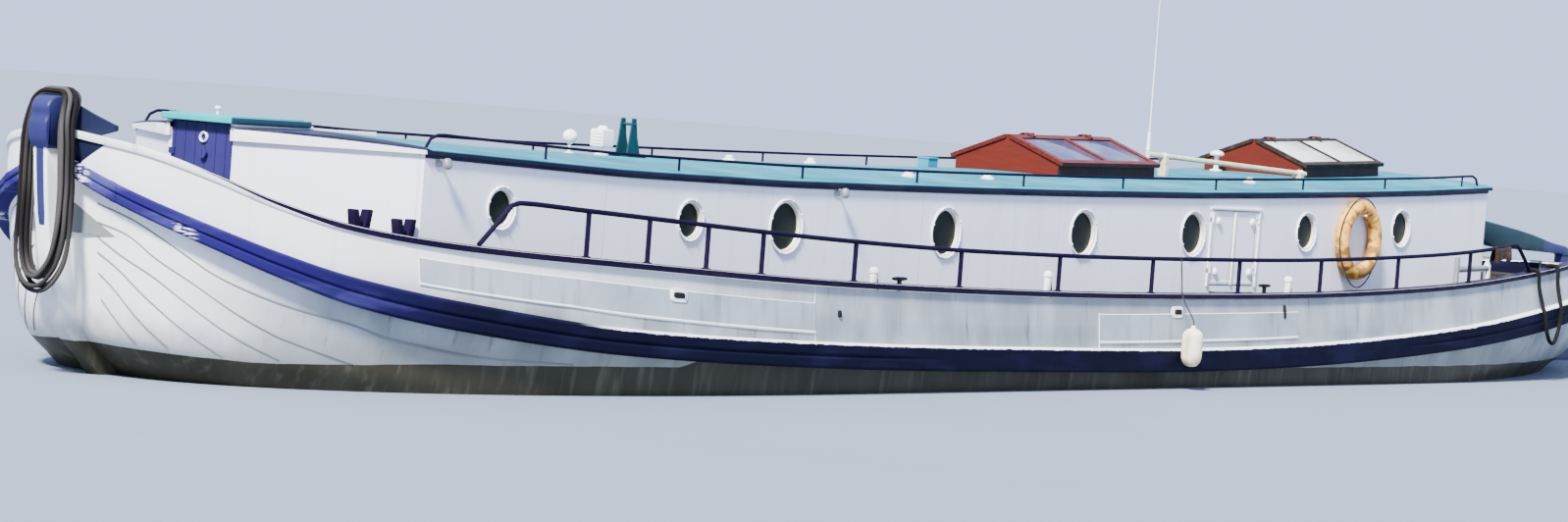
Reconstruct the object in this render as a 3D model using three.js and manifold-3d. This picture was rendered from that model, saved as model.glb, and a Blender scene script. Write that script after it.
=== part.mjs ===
// A houseboat made from a flat-bottomed steel sailing barge: millimetres, +X to the bow, +Y to port, +Z up.
// The origin is amidships on the centreline, on the underside of the flat bottom.
import * as THREE from 'three';
import { mergeVertices } from 'three/addons/utils/BufferGeometryUtils.js';
import Module from 'manifold-3d';

const wasm = await Module();
wasm.setup();

// Driving dimensions
const GAP = 0.3;                       // between pieces that touch
const BOW_SHOULDER = 4400;             // where the sides start to turn in, forward
const STERN_SHOULDER = -5000;          // and aft
const STEM_HALF = 60;                  // half thickness of the hull where its sides meet
const BULWARK = 34;                    // bulwark plate with its stiffening
const CAP = { width: 105, depth: 50, overhang: 32 };
const WALE_PROUD = 62;
const CABIN = { half: 1360, wall: 60, front: 9410, frontHalf: 310, shoulder: 8680, back: -6690 };
const ROOF = { overhang: 28, edge: 42 };
const HANDRAIL = { height: 282, rise: 42, riseFrom: 3000, riseTo: 7950, radius: 18, post: 15, inward: 18 };
const GRABRAIL = { height: 92, radius: 11, pitch: 1511, first: 7379, posts: 10, y: 1325 };
const TILLER_NOTCH = { half: 640, from: -8500, low: 1800 };   // the bulwark is cut down here, under the tiller
// The hull and its edges are built in three lengths.
const SECTIONS = [
  { name: 'bow', aft: 6500, fore: 12500 },
  { name: 'middle', aft: -5000, fore: 6500 },
  { name: 'stern', aft: -12500, fore: -5000 },
];

// Level lines of the hull from the keel up. Heights are amidships; rise is what the line climbs at each end.
const LINES = [
  { name: 'bottom', z: 0, half: 1380, bow: 8700, bowFull: 2.0, bowRise: 0, stern: -8400, sternFull: 1.8, sternRise: 0 },
  { name: 'chine', z: 110, half: 1650, bow: 9250, bowFull: 2.1, bowRise: 130, stern: -9000, sternFull: 1.6, sternRise: 90 },
  { name: 'bilge', z: 330, half: 1815, bow: 9800, bowFull: 2.2, bowRise: 230, stern: -9700, sternFull: 1.45, sternRise: 150 },
  { name: 'water', z: 700, half: 1905, bow: 10230, bowFull: 2.3, bowRise: 150, stern: -10300, sternFull: 1.45, sternRise: 90 },
  { name: 'side', z: 930, half: 1930, bow: 10520, bowFull: 2.3, bowRise: 230, stern: -10560, sternFull: 1.75, sternRise: 260 },
];
// Heights along the side by the way along it from the stem.
const SHEER = [
  { way: 0, cap: 2372, wale: 2190, depth: 118 },
  { way: 600, cap: 2285, wale: 1962, depth: 132 },
  { way: 1050, cap: 2155, wale: 1805, depth: 145 },
  { way: 1500, cap: 2000, wale: 1662, depth: 165 },
  { way: 2050, cap: 1868, wale: 1522, depth: 190 },
  { way: 2900, cap: 1776, wale: 1388, depth: 200 },
  { way: 4400, cap: 1698, wale: 1232, depth: 190 },
  { way: 6900, cap: 1596, wale: 1140, depth: 195 },
  { way: 9700, cap: 1546, wale: 1099, depth: 195 },
  { way: 12000, cap: 1545, wale: 1090, depth: 195 },
  { way: 14200, cap: 1575, wale: 1140, depth: 200 },
  { way: 16500, cap: 1665, wale: 1270, depth: 210 },
  { way: 18400, cap: 1800, wale: 1450, depth: 222 },
  { way: 20500, cap: 1950, wale: 1660, depth: 200 },
  { way: 22700, cap: 2010, wale: 1790, depth: 170 },
];
// The two upper lines of the plating: at the wale and at the cap.
const WALE_LINE = { half: 1985, bow: 10700, bowFull: 2.3, stern: -10720, sternFull: 2.15 };
const CAP_LINE = { half: 1940, bow: 10745, bowFull: 2.3, stern: -10660, sternFull: 2.1 };
// Deck height along the centreline, level from side to side.
const DECK = [
  [-11200, 1520], [-10000, 1500], [-8500, 1440], [-6900, 1350], [-5500, 1250], [-4000, 1160], [-2000, 1095],
  [0, 1078], [2500, 1095], [5000, 1140], [7000, 1215], [8200, 1330], [9000, 1440], [9600, 1560], [10200, 1650],
  [11200, 1740],
];
// The roof from aft to forward: place, height of its lower edge, and rise of its crown.
const ROOF_LINE = [
  [-6740, 2536, 60], [-5500, 2476, 60], [-4300, 2430, 60], [-2400, 2370, 60], [-1300, 2341, 60], [500, 2308, 60],
  [2200, 2286, 60], [4600, 2268, 60], [6500, 2286, 60], [7800, 2326, 58], [8700, 2355, 55], [9440, 2345, 55],
];
// Round windows in each cabin side: place, height and outer diameter.
const PORTHOLES = [
  { x: 7860, z: 2010, across: 300 }, { x: 5740, z: 1974, across: 305 }, { x: 4570, z: 1952, across: 410 },
  { x: 2450, z: 1949, across: 405 }, { x: 445, z: 1982, across: 400 }, { x: -1300, z: 2012, across: 395 },
  { x: -3250, z: 2066, across: 352 }, { x: -5010, z: 2133, across: 352 },
];
const PORTHOLE_RIM = 24;
const BUOY = { x: -4111, z: 2016, ring: 300, radius: 66 };
const PEG_RADIUS = 9;
const SHUTTER = { fore: -1610, aft: -2390, low: 1572, high: 2226, thick: 34, clear: 6, hinges: [1680, 2120] };
const HANDRAIL_POSTS = [7400, 6800, 6180, 5560, 4430, 3030, 1630, 220, -1180, -2580, -3980, -5370];
const SKYLIGHTS = [
  { name: 'skylight_fore', fore: -390, aft: -1950 },
  { name: 'skylight_aft', fore: -4560, aft: -6020 },
];
const SKYLIGHT = { half: 530, wall: 40, eaves: 110, ridge: 300, ridgeHalf: 16, beam: 60, frame: 34, overhang: 45 };

// Solids from meshes and back
function solid(geometry) {
  const bare = new THREE.BufferGeometry();
  bare.setAttribute('position', geometry.getAttribute('position').clone());
  if (geometry.index) bare.setIndex(geometry.index.clone());
  const merged = mergeVertices(bare, 1e-3);
  return new wasm.Manifold(new wasm.Mesh({
    numProp: 3,
    vertProperties: new Float32Array(merged.getAttribute('position').array),
    triVerts: new Uint32Array(merged.index.array),
  }));
}

function geometryOf(body) {
  const mesh = body.getMesh();
  const geometry = new THREE.BufferGeometry();
  geometry.setAttribute('position', new THREE.BufferAttribute(new Float32Array(mesh.vertProperties), 3));
  geometry.setIndex(new THREE.BufferAttribute(new Uint32Array(mesh.triVerts), 1));
  geometry.computeVertexNormals();
  return geometry;
}

const joined = (first, ...rest) => rest.reduce((sum, next) => sum.add(next), first);

// A closed skin over rings of equal length; the end rings are closed by pairing a point with its opposite.
// The second half of each ring is split along the other diagonal, so that a symmetric ring gives a symmetric skin.
function loft(rings) {
  const count = rings[0].length;
  const positions = rings.flat(2);
  const index = [];
  const quad = (a, b, c, d) => index.push(a, b, c, a, c, d);
  for (let ring = 0; ring + 1 < rings.length; ring += 1) {
    for (let point = 0; point < count; point += 1) {
      const next = (point + 1) % count;
      const [here, ahead] = [ring * count, (ring + 1) * count];
      if (point < count / 2) quad(here + point, here + next, ahead + next, ahead + point);
      else quad(here + next, ahead + next, ahead + point, here + point);
    }
  }
  const last = (rings.length - 1) * count;
  for (let point = 0; point + 1 < count / 2; point += 1) {
    const opposite = count - 1 - point;
    quad(point, opposite, opposite - 1, point + 1);
    quad(last + point, last + point + 1, last + opposite - 1, last + opposite);
  }
  if (volumeSign(positions, index) < 0) index.reverse();
  const geometry = new THREE.BufferGeometry();
  geometry.setAttribute('position', new THREE.Float32BufferAttribute(positions, 3));
  geometry.setIndex(index);
  return solid(geometry);
}

function volumeSign(positions, index) {
  const [a, b, c] = [new THREE.Vector3(), new THREE.Vector3(), new THREE.Vector3()];
  let sum = 0;
  for (let i = 0; i < index.length; i += 3) {
    a.fromArray(positions, 3 * index[i]);
    b.fromArray(positions, 3 * index[i + 1]);
    c.fromArray(positions, 3 * index[i + 2]);
    sum += a.dot(b.cross(c));
  }
  return Math.sign(sum);
}

function outline(points) {
  return new THREE.Shape(points.map(([u, v]) => new THREE.Vector2(u, v)));
}

function extruded(shape, depth) {
  return new THREE.ExtrudeGeometry(shape, { depth, bevelEnabled: false, curveSegments: 12 });
}

// Plates: an outline seen from the side (X and Z), from the front (Y and Z) or from above (X and Y).
function sidePlate(shape, low, high) {
  return solid(extruded(shape, high - low).rotateX(Math.PI / 2).translate(0, high, 0));
}

function frontPlate(shape, low, high) {
  return solid(extruded(shape, high - low).rotateX(Math.PI / 2).rotateZ(Math.PI / 2).translate(low, 0, 0));
}

function floorPlate(shape, low, high) {
  return solid(extruded(shape, high - low).translate(0, 0, low));
}

function block(x, y, z) {
  const size = [x[1] - x[0], y[1] - y[0], z[1] - z[0]];
  return solid(new THREE.BoxGeometry(...size)
    .translate((x[0] + x[1]) / 2, (y[0] + y[1]) / 2, (z[0] + z[1]) / 2));
}

// A round bar between two points, thinner at its far end if a second radius is given.
function bar(from, to, radius, endRadius = radius, sides = 10) {
  const a = new THREE.Vector3(...from);
  const b = new THREE.Vector3(...to);
  const geometry = new THREE.CylinderGeometry(endRadius, radius, a.distanceTo(b), sides);
  const turn = new THREE.Quaternion().setFromUnitVectors(new THREE.Vector3(0, 1, 0), b.clone().sub(a).normalize());
  return solid(geometry.applyQuaternion(turn).translate(...a.add(b).multiplyScalar(0.5).toArray()));
}

function tube(points, radius, steps, sides = 8, closed = false) {
  const path = new THREE.CatmullRomCurve3(points.map((p) => new THREE.Vector3(...p)), closed, 'centripetal');
  const ring = new THREE.Shape();
  ring.absarc(0, 0, radius, 0, 2 * Math.PI, false);
  const section = new THREE.Shape(ring.getPoints(sides / 2).slice(0, sides));
  return solid(new THREE.ExtrudeGeometry(section, { steps, extrudePath: path, bevelEnabled: false }));
}

function lathe(profile, sides = 20) {
  const points = profile.map(([r, z]) => new THREE.Vector2(r, z));
  return solid(new THREE.LatheGeometry(points, sides).rotateX(Math.PI / 2));
}

// Value on a line of [x, z, ...] points, straight between them.
function valueOn(line, x, column = 1) {
  const next = Math.max(1, line.findIndex(([px]) => px >= x));
  const [from, to] = [line[next - 1], line[next]];
  return THREE.MathUtils.mapLinear(x, from[0], to[0], from[column], to[column]);
}

// Everything above or below such a line, as a solid across the boat.
const [FAR, HIGH] = [12500, 6000];
function above(line, lift) {
  const points = line.map(([x, z]) => [x, z + lift]);
  points.push([line.at(-1)[0], HIGH], [line[0][0], HIGH]);
  return sidePlate(outline(points), -3000, 3000);
}

function below(line, lift) {
  const points = line.map(([x, z]) => [x, z + lift]);
  points.push([line.at(-1)[0], -100], [line[0][0], -100]);
  return sidePlate(outline(points), -3000, 3000);
}

// Smooth value of one column of the sheer table.
function sheer(column, way) {
  const last = SHEER.length - 1;
  const beyond = SHEER.findIndex((row) => row.way >= way);
  const next = beyond < 0 ? last : Math.max(1, beyond);
  const slope = (k) => {
    const [a, b] = [SHEER[Math.max(0, k - 1)], SHEER[Math.min(last, k + 1)]];
    return (b[column] - a[column]) / (b.way - a.way);
  };
  const [p, q] = [SHEER[next - 1], SHEER[next]];
  const span = q.way - p.way;
  const t = THREE.MathUtils.clamp((way - p.way) / span, 0, 1);
  return (2 * t ** 3 - 3 * t ** 2 + 1) * p[column] + (t ** 3 - 2 * t ** 2 + t) * span * slope(next - 1)
    + (3 * t ** 2 - 2 * t ** 3) * q[column] + (t ** 3 - t ** 2) * span * slope(next);
}

// Stations from stem to stern: a turn of the round bow, a place on the straight side, or a turn of the stern.
const BOW_STEPS = 13;
const STERN_STEPS = 9;
const STATIONS = stations();
const SIDE_LENGTH = STATIONS.at(-1).way;

function stations() {
  const list = [];
  for (let i = 0; i <= BOW_STEPS; i += 1) list.push({ end: 'bow', turn: (Math.PI / 2) * (i / BOW_STEPS) });
  for (const x of [2200, 0, -2400]) list.push({ end: 'middle', x });
  for (let i = STERN_STEPS; i >= 0; i -= 1) list.push({ end: 'stern', turn: (Math.PI / 2) * (i / STERN_STEPS) });
  let way = 0;
  let before = null;
  for (const station of list) {
    const here = planPoint(WALE_LINE, station, 0);
    if (before) way += Math.hypot(here[0] - before[0], here[1] - before[1]);
    station.way = way;
    before = here;
  }
  return list;
}

// A point of a level line in plan: superellipse quarters at the ends, straight between the shoulders.
function planPoint(line, station, grow) {
  const half = line.half + grow;
  if (station.end === 'middle') return [station.x, half];
  const bow = station.end === 'bow';
  const shoulder = bow ? BOW_SHOULDER : STERN_SHOULDER;
  const tip = bow ? line.bow + grow : line.stern - grow;
  const power = 2 / (bow ? line.bowFull : line.sternFull);
  const reach = Math.cos(station.turn) ** power;
  const width = Math.sin(station.turn) ** power;
  return [shoulder + (tip - shoulder) * reach, STEM_HALF + grow + (half - STEM_HALF - grow) * width];
}

function lineHeight(line, station) {
  const fromStem = Math.exp(-station.way / 2150);
  const fromStern = Math.exp(-(SIDE_LENGTH - station.way) / 2000);
  return line.z + line.bowRise * fromStem + line.sternRise * fromStern;
}

const both = (points) => [...points, ...points.map(([x, y, z]) => [x, -y, z]).reverse()];

// The outside of the hull and bulwarks as one solid, grown by a clearance.
function hullForm(grow) {
  return loft(STATIONS.map((station) => {
    const points = LINES.map((line) => [...planPoint(line, station, grow), lineHeight(line, station)]);
    points[0][2] -= grow;
    points.push([...planPoint(WALE_LINE, station, grow), sheer('wale', station.way) - 60]);
    points.push([...planPoint(CAP_LINE, station, grow), sheer('cap', station.way) - 5 + grow]);
    return both(points);
  }));
}

// The space inside the bulwarks.
function bulwarkSpace() {
  return loft(STATIONS.map((station) => {
    const low = planPoint({ ...WALE_LINE, half: WALE_LINE.half - 25 }, station, -BULWARK);
    const high = planPoint(CAP_LINE, station, -BULWARK);
    const wale = sheer('wale', station.way);
    return both([[...low, wale - 700], [...low, wale - 60], [...high, sheer('cap', station.way) + 50]]);
  }));
}

// A strip along one side, from a list of [outward, height] corners at each station, run on across the centreline.
function sideStrip(line, corners) {
  const rings = STATIONS.map((station) => corners(station)
    .map(([out, z]) => [...planPoint(line, station, out), z]));
  const across = (ring) => ring.map(([x, , z]) => [x, -150, z]);
  return loft([across(rings[0]), ...rings, across(rings.at(-1))]);
}

function capStrip(grow) {
  return sideStrip(CAP_LINE, (station) => {
    const top = sheer('cap', station.way) + grow;
    const low = top - CAP.depth - 2 * grow;
    const [out, inn] = [CAP.overhang + grow, CAP.overhang - CAP.width - grow];
    return [[out, low], [out, top], [inn, top], [inn, low]];
  });
}

// The wale: a deep bar with two rounded ridges and a groove between them.
function waleStrip() {
  return sideStrip(WALE_LINE, (station) => {
    const top = sheer('wale', station.way);
    const depth = sheer('depth', station.way);
    const at = (share) => top - depth * share;
    const proud = WALE_PROUD;
    return [[-60, at(1)], [proud * 0.45, at(1)], [proud, at(0.88)], [proud, at(0.66)], [proud * 0.5, at(0.56)],
      [proud * 0.5, at(0.46)], [proud, at(0.36)], [proud, at(0.1)], [proud * 0.5, at(0)], [-60, at(0)]];
  });
}

const mirrored = (body) => body.mirror([0, 1, 0]);
const portSide = block([-FAR, FAR], [0.15, 3000], [-200, HIGH]);
const grownHull = hullForm(GAP);
const capBars = capStrip(GAP);
const capBarsBoth = joined(capBars, mirrored(capBars));

const boat = new THREE.Group();
boat.name = 'houseboat';

const PAINT = {
  white: { color: 0xd6d6da, roughness: 0.5 }, bottom: { color: 0x3d4038, roughness: 0.8 },
  navy: { color: 0x17184a, roughness: 0.4 }, blue: { color: 0x2a37a8, roughness: 0.4 },
  turquoise: { color: 0x2fb6b9, roughness: 0.45 }, teal: { color: 0x16454a, roughness: 0.5 },
  mahogany: { color: 0x7a2f22, roughness: 0.5 }, charcoal: { color: 0x2c2b30, roughness: 0.6 },
  bronze: { color: 0x9c7440, roughness: 0.35, metalness: 1 }, rope: { color: 0x3a3531, roughness: 0.95 },
  cream: { color: 0xdcc9a2, roughness: 0.8 }, yellow: { color: 0xd9a552, roughness: 0.7 },
  brown: { color: 0x4a342b, roughness: 0.7 }, steel: { color: 0x9a9a98, roughness: 0.4, metalness: 0.8 },
};

function add(name, body, paint) {
  const finish = PAINT[paint];
  const mesh = new THREE.Mesh(geometryOf(body), new THREE.MeshStandardMaterial({ metalness: 0, ...finish }));
  mesh.name = name;
  boat.add(mesh);
}

// A piece and its mirror image on the other side
function addPair(name, body, paint) {
  add(`${name}_port`, body, paint);
  add(`${name}_starboard`, mirrored(body), paint);
}

// Hull, bulwarks and cap rails, section by section, and the wales, which run the whole way
function hullAndBulwarks() {
  const form = hullForm(0);
  const decked = form.intersect(below(DECK, 0));
  const { half, from, low } = TILLER_NOTCH;
  const notch = block([-FAR, from], [-half, half], [low, HIGH]);
  const plate = form.subtract(bulwarkSpace()).intersect(above(DECK, GAP)).intersect(portSide)
    .subtract(capBars).subtract(notch);
  const rail = capStrip(0).intersect(portSide).subtract(notch);
  for (const { name, aft, fore } of SECTIONS) {
    const length = block([aft + GAP / 2, fore - GAP / 2], [-3000, 3000], [-200, HIGH]);
    const lugs = EYE_LUGS.filter((x) => x > aft && x < fore).map(eyeLug);
    add(`hull_${name}`, decked.intersect(length), 'white');
    addPair(`bulwark_${name}`, joined(plate.intersect(length), ...lugs), 'white');
    addPair(`cap_rail_${name}`, rail.intersect(length), 'navy');
  }
  const besideStem = block([-FAR, FAR], [STEM_WIDTH / 2 + GAP, 3000], [0, HIGH]);
  addPair('wale', waleStrip().subtract(grownHull).intersect(besideStem), 'navy');
}

// A lug on the inner face of the bulwark under the cap rail, that a mooring line is made fast to
const EYE_LUGS = [-6795, -7352];
const LUG = { drop: 84, thick: 22, reach: 120, half: 26 };

function eyeLug(x) {
  const [, y, top] = onCap(x, BULWARK / 2, -LUG.drop);
  return block([x - LUG.half, x + LUG.half], [y + BULWARK / 2 - LUG.reach, y], [top - LUG.thick, top]);
}

// Stem bar, its head with a wing to each bulwark, and the stern frame
const STEM_FACE = [[8760, 0], [9340, 120], [9870, 370], [10180, 640], [10380, 850], [10560, 1000], [10680, 1180],
  [10770, 1450], [10830, 1750], [10872, 2050], [10890, 2232]];
const STEM_TOP = 2232;
const STEM_WIDTH = 130;

function stem() {
  const back = [[10600, STEM_TOP], [10450, 1500], [10000, 900], [9300, 420], [8600, 140], [8500, 0]];
  const plate = sidePlate(outline([...STEM_FACE, ...back]), -STEM_WIDTH / 2, STEM_WIDTH / 2);
  add('stem_bar', plate.subtract(grownHull).subtract(capBarsBoth), 'white');

  const head = sidePlate(outline([[10560, STEM_TOP + GAP], [10900, STEM_TOP + GAP], [10928, 2290], [10935, 2380],
    [10918, 2440], [10922, 2500], [10880, 2556], [10810, 2572], [10740, 2556], [10690, 2500], [10600, 2440]]), -85, 85);
  const wing = loft([0, 1].map((end) => {
    const [x, y, low, high] = end ? [10590, 380, 2250, 2398] : [10700, 60, 2250, 2545];
    return [[x - 16, y, low], [x - 16, y, high], [x + 16, y, high], [x + 16, y, low]];
  }));
  const lower = block([8000, FAR], [-70, 70], [0, STEM_TOP + GAP]);
  const whole = joined(head, wing, mirrored(wing)).subtract(grownHull).subtract(capBarsBoth).subtract(lower);
  add('stem_head', whole.decompose().sort((a, b) => b.volume() - a.volume())[0], 'blue');
}

const PROPELLER = { x: -10330, z: 350, radius: 235, hub: 45 };
const RUDDER = { x: -11120, stock: 36, bore: 39, ring: 58, heel: 74, gudgeons: [780, 1420] };
const GUDGEON = 60;

function sternFrame() {
  const post = RUDDER.x + 66;
  const shape = outline([[-8150, 14], [RUDDER.x - 50, 14], [RUDDER.x - 50, RUDDER.heel], [post, RUDDER.heel],
    [post + 8, 1740], [-10600, 1740], [-10500, 1200], [-10000, 900], [-9000, 400], [-8200, 120]]);
  const aperture = outline([[-10890, 96], [-10130, 96], [-10130, 560], [-10560, 640], [-10890, 700]]);
  const frame = sidePlate(shape, -50, 50).subtract(grownHull).subtract(sidePlate(aperture, -60, 60));
  const boss = bar([-9900, 0, PROPELLER.z], [-10160, 0, PROPELLER.z], 62, 50, 16);
  const { x, bore, ring } = RUDDER;
  const gudgeons = RUDDER.gudgeons.map((z) => joined(bar([x, 0, z], [x, 0, z + GUDGEON], ring, ring, 20),
    block([x, post + 20], [-34, 34], [z, z + GUDGEON]))
    .subtract(bar([x, 0, z - 1], [x, 0, z + GUDGEON + 1], bore, bore, 20)));
  add('stern_frame', joined(frame, boss, ...gudgeons).subtract(grownHull), 'bottom');
}

// Propeller: hub, shaft end and four raked blades
function propeller() {
  const hub = bar([-10160 - GAP, 0, 0], [PROPELLER.x - 90, 0, 0], PROPELLER.hub, 26, 16);
  const blades = [0, 1, 2, 3].map((i) => {
    const shape = new THREE.Shape();
    shape.moveTo(-30, 20).lineTo(30, 20);
    shape.bezierCurveTo(130, 110, 105, 225, 15, PROPELLER.radius);
    shape.bezierCurveTo(-75, 230, -110, 120, -30, 20);
    const blade = new THREE.ExtrudeGeometry(shape, { depth: 12, bevelEnabled: false, curveSegments: 6 });
    blade.translate(0, 0, -6).rotateX(Math.PI / 2).rotateZ(Math.PI / 2 + 0.62).rotateX(i * Math.PI / 2);
    return solid(blade.translate(PROPELLER.x, 0, 0));
  });
  add('propeller', joined(hub, ...blades).translate([0, 0, PROPELLER.z]), 'bronze');
}

// Rudder with its stock, and the tiller that comes down into the rudder head
function rudderAndTiller() {
  const { x, heel } = RUDDER;
  const stock = bar([x, 0, heel + GAP], [x, 0, 1860], RUDDER.stock, RUDDER.stock, 14);
  const blade = sidePlate(outline([[x, 130], [x - 930, 150], [x - 980, 330], [x - 930, 640], [x - 560, 820],
    [x - 330, 1050], [x - 200, 1500], [x - 160, 1840], [x, 1840]]), -28, 28);
  const head = block([x - 175, x + 38], [-46, 46], [1752, 1860]);
  const clear = RUDDER.ring + 9;
  const room = RUDDER.gudgeons.map((z) => bar([x, 0, z - 8], [x, 0, z + GUDGEON + 8], clear, clear, 20));
  add('rudder', joined(room.reduce((body, hollow) => body.subtract(hollow), blade), stock, head), 'blue');

  const top = [[x - 150, 1905], [x - 60, 1960], [x + 160, 1985], [x + 340, 2008], [x + 850, 2088], [x + 1690, 2183],
    [x + 2250, 2230]];
  const under = [[x + 2250, 2120], [x + 1850, 1985], [x + 1600, 1930], [x + 780, 1905], [x + 60, 1880],
    [x + 40, 1860 + GAP], [x - 150, 1860 + GAP]];
  add('tiller', sidePlate(outline([...top, ...under]), -55, 55), 'teal');
}

// Cabin shell: upright walls on the plan of the deckhouse, between the deck and the roof
const MITRE = 0.42;                    // how far a corner comes in for each step of the walls inwards

function cabinPlan(inset) {
  const { half, front, frontHalf, shoulder, back } = CABIN;
  const side = half - inset;
  const bevel = inset * MITRE;
  return outline([[back + inset, -side], [shoulder - bevel, -side], [front - inset, -(frontHalf - bevel)],
    [front - inset, frontHalf - bevel], [shoulder - bevel, side], [back + inset, side]]);
}

function hingeKnuckle(x, y, z, reachX, reachY) {
  const pin = bar([x, y, z], [x, y, z + KNUCKLE], 10, 10, 12);
  const [x0, x1] = [Math.min(x, x + reachX), Math.max(x, x + reachX)];
  const [y0, y1] = [Math.min(y, y + reachY), Math.max(y, y + reachY)];
  return joined(pin, block([x0, x1], [y0, y1], [z, z + KNUCKLE]));
}

const KNUCKLE = 42;
const FRONT_DOOR = { half: 285, low: 1640, high: 2450, thick: 40, hinges: [1740, 2180] };
const AFT_DOOR = { half: 340, low: 1440, high: 2440, thick: 40, hinges: [1560, 2240] };

function cabin() {
  const { half, wall, front, shoulder, back } = CABIN;
  const shell = floorPlate(cabinPlan(0), 0, HIGH).subtract(floorPlate(cabinPlan(wall), -10, HIGH + 10))
    .intersect(above(DECK, GAP)).intersect(below(ROOF_LINE, -GAP));
  const seam = GAP / 2;
  const corner = shoulder - wall * MITRE;
  const pegHeight = BUOY.z + BUOY.ring - BUOY.radius - PEG_RADIUS - GAP;
  const holes = PORTHOLES.map(({ x, z, across }) => bar([x, half + 50, z], [x, half - 100, z],
    across / 2 - PORTHOLE_RIM, across / 2 - PORTHOLE_RIM, 20));
  const side = holes.reduce((body, hole) => body.subtract(hole),
    shell.intersect(block([back + wall + seam, corner - seam], [0, 3000], [0, HIGH])));
  const pegEnd = half + 2 * BUOY.radius;
  const peg = bar([BUOY.x, half - 5, pegHeight], [BUOY.x, pegEnd, pegHeight], PEG_RADIUS, PEG_RADIUS, 12);
  const doorway = block([SHUTTER.aft, SHUTTER.fore], [half - 100, half + 50], [SHUTTER.low, SHUTTER.high]);
  const { hinges } = SHUTTER;
  const knuckles = hinges.flatMap((z) => [hingeKnuckle(SHUTTER.fore, half + 12, z, 30, -20),
    hingeKnuckle(SHUTTER.aft, half + 12, z, -30, -20)]);
  add('cabin_side_port', joined(side.subtract(doorway), peg, ...knuckles), 'white');
  add('cabin_side_starboard', mirrored(side), 'white');

  const frontDoorway = block([front - 100, front + 50], [-FRONT_DOOR.half, FRONT_DOOR.half],
    [FRONT_DOOR.low, HIGH]);
  const frontHinges = FRONT_DOOR.hinges.map((z) => hingeKnuckle(front + 12, -FRONT_DOOR.half, z, -20, -18));
  add('cabin_front', joined(shell.intersect(block([corner + seam, FAR], [-3000, 3000], [0, HIGH]))
    .subtract(frontDoorway), ...frontHinges), 'white');

  const aftDoorway = block([back - 50, back + 100], [-AFT_DOOR.half, AFT_DOOR.half], [AFT_DOOR.low, AFT_DOOR.high]);
  const aftHinges = AFT_DOOR.hinges.map((z) => hingeKnuckle(back - 12, AFT_DOOR.half, z, 20, 30));
  add('cabin_back', joined(shell.intersect(block([-FAR, back + wall - seam], [-3000, 3000], [0, HIGH]))
    .subtract(aftDoorway), ...aftHinges), 'white');
}

// Doors and shutters, each with knuckles that stand on those of the wall
function doors() {
  const { half, front, back } = CABIN;
  const lift = KNUCKLE + GAP;
  const { fore, aft, low, high, thick, clear, hinges } = SHUTTER;
  const middle = (fore + aft) / 2;
  const leaf = (x0, x1) => block([x0, x1], [half - thick + 2, half + 2], [low + clear, high - clear]);
  const foreKnuckles = hinges.map((z) => hingeKnuckle(fore, half + 12, z + lift, -40, -11));
  const aftKnuckles = hinges.map((z) => hingeKnuckle(aft, half + 12, z + lift, 40, -11));
  add('shutter_fore', joined(leaf(middle + 3, fore - clear), ...foreKnuckles), 'white');
  add('shutter_aft', joined(leaf(aft + clear, middle - 3), ...aftKnuckles), 'white');

  const door = FRONT_DOOR;
  const frontLeaf = block([front - door.thick, front + 2], [-door.half + clear, door.half - clear],
    [door.low + clear, door.high]);
  const frontKnuckles = door.hinges.map((z) => hingeKnuckle(front + 12, -door.half, z + lift, -11, 40));
  const knob = bar([front, 40, 2240], [front + 34, 40, 2240], 26, 30, 14);
  add('front_door', joined(frontLeaf, knob, ...frontKnuckles), 'blue');

  const aftLeaf = block([back - 2, back + AFT_DOOR.thick], [-AFT_DOOR.half + clear, AFT_DOOR.half - clear],
    [AFT_DOOR.low + clear, AFT_DOOR.high - clear]);
  const aftDoorKnuckles = AFT_DOOR.hinges.map((z) => hingeKnuckle(back - 12, AFT_DOOR.half, z + lift, 11, -40));
  const handle = bar([back, -260, 1960], [back - 40, -260, 1960], 14, 14, 12);
  add('aft_door', joined(aftLeaf, handle, ...aftDoorKnuckles), 'blue');
}

// Roof: level below, crowned above, with openings for the hatch and the two skylights
function roofTop(x, y) {
  const half = CABIN.half + ROOF.overhang;
  return valueOn(ROOF_LINE, x) + ROOF.edge + valueOn(ROOF_LINE, x, 2) * (1 - (y / half) ** 2);
}

const HATCH = { aft: 8760, half: 285, lidHalf: 330, lidAft: 8700, lidFore: 9480, thick: 46, travel: 640 };
const LID_BASE = 2457;

// The roof as a solid, its top raised by a clearance where something stands on it
function roofForm(lift) {
  const shares = [-1, -0.86, -0.65, -0.4, -0.2, 0, 0.2, 0.4, 0.65, 0.86, 1];
  const rings = ROOF_LINE.map(([x, z]) => {
    const across = x > CABIN.shoulder + 100 ? CABIN.frontHalf + 12 : CABIN.half + ROOF.overhang;
    const top = shares.map((share) => [x, across * share, roofTop(x, across * share) + lift]);
    const low = shares.map((share) => [x, across * share, z]).reverse();
    return [...top, ...low];
  });
  return loft(rings);
}

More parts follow.
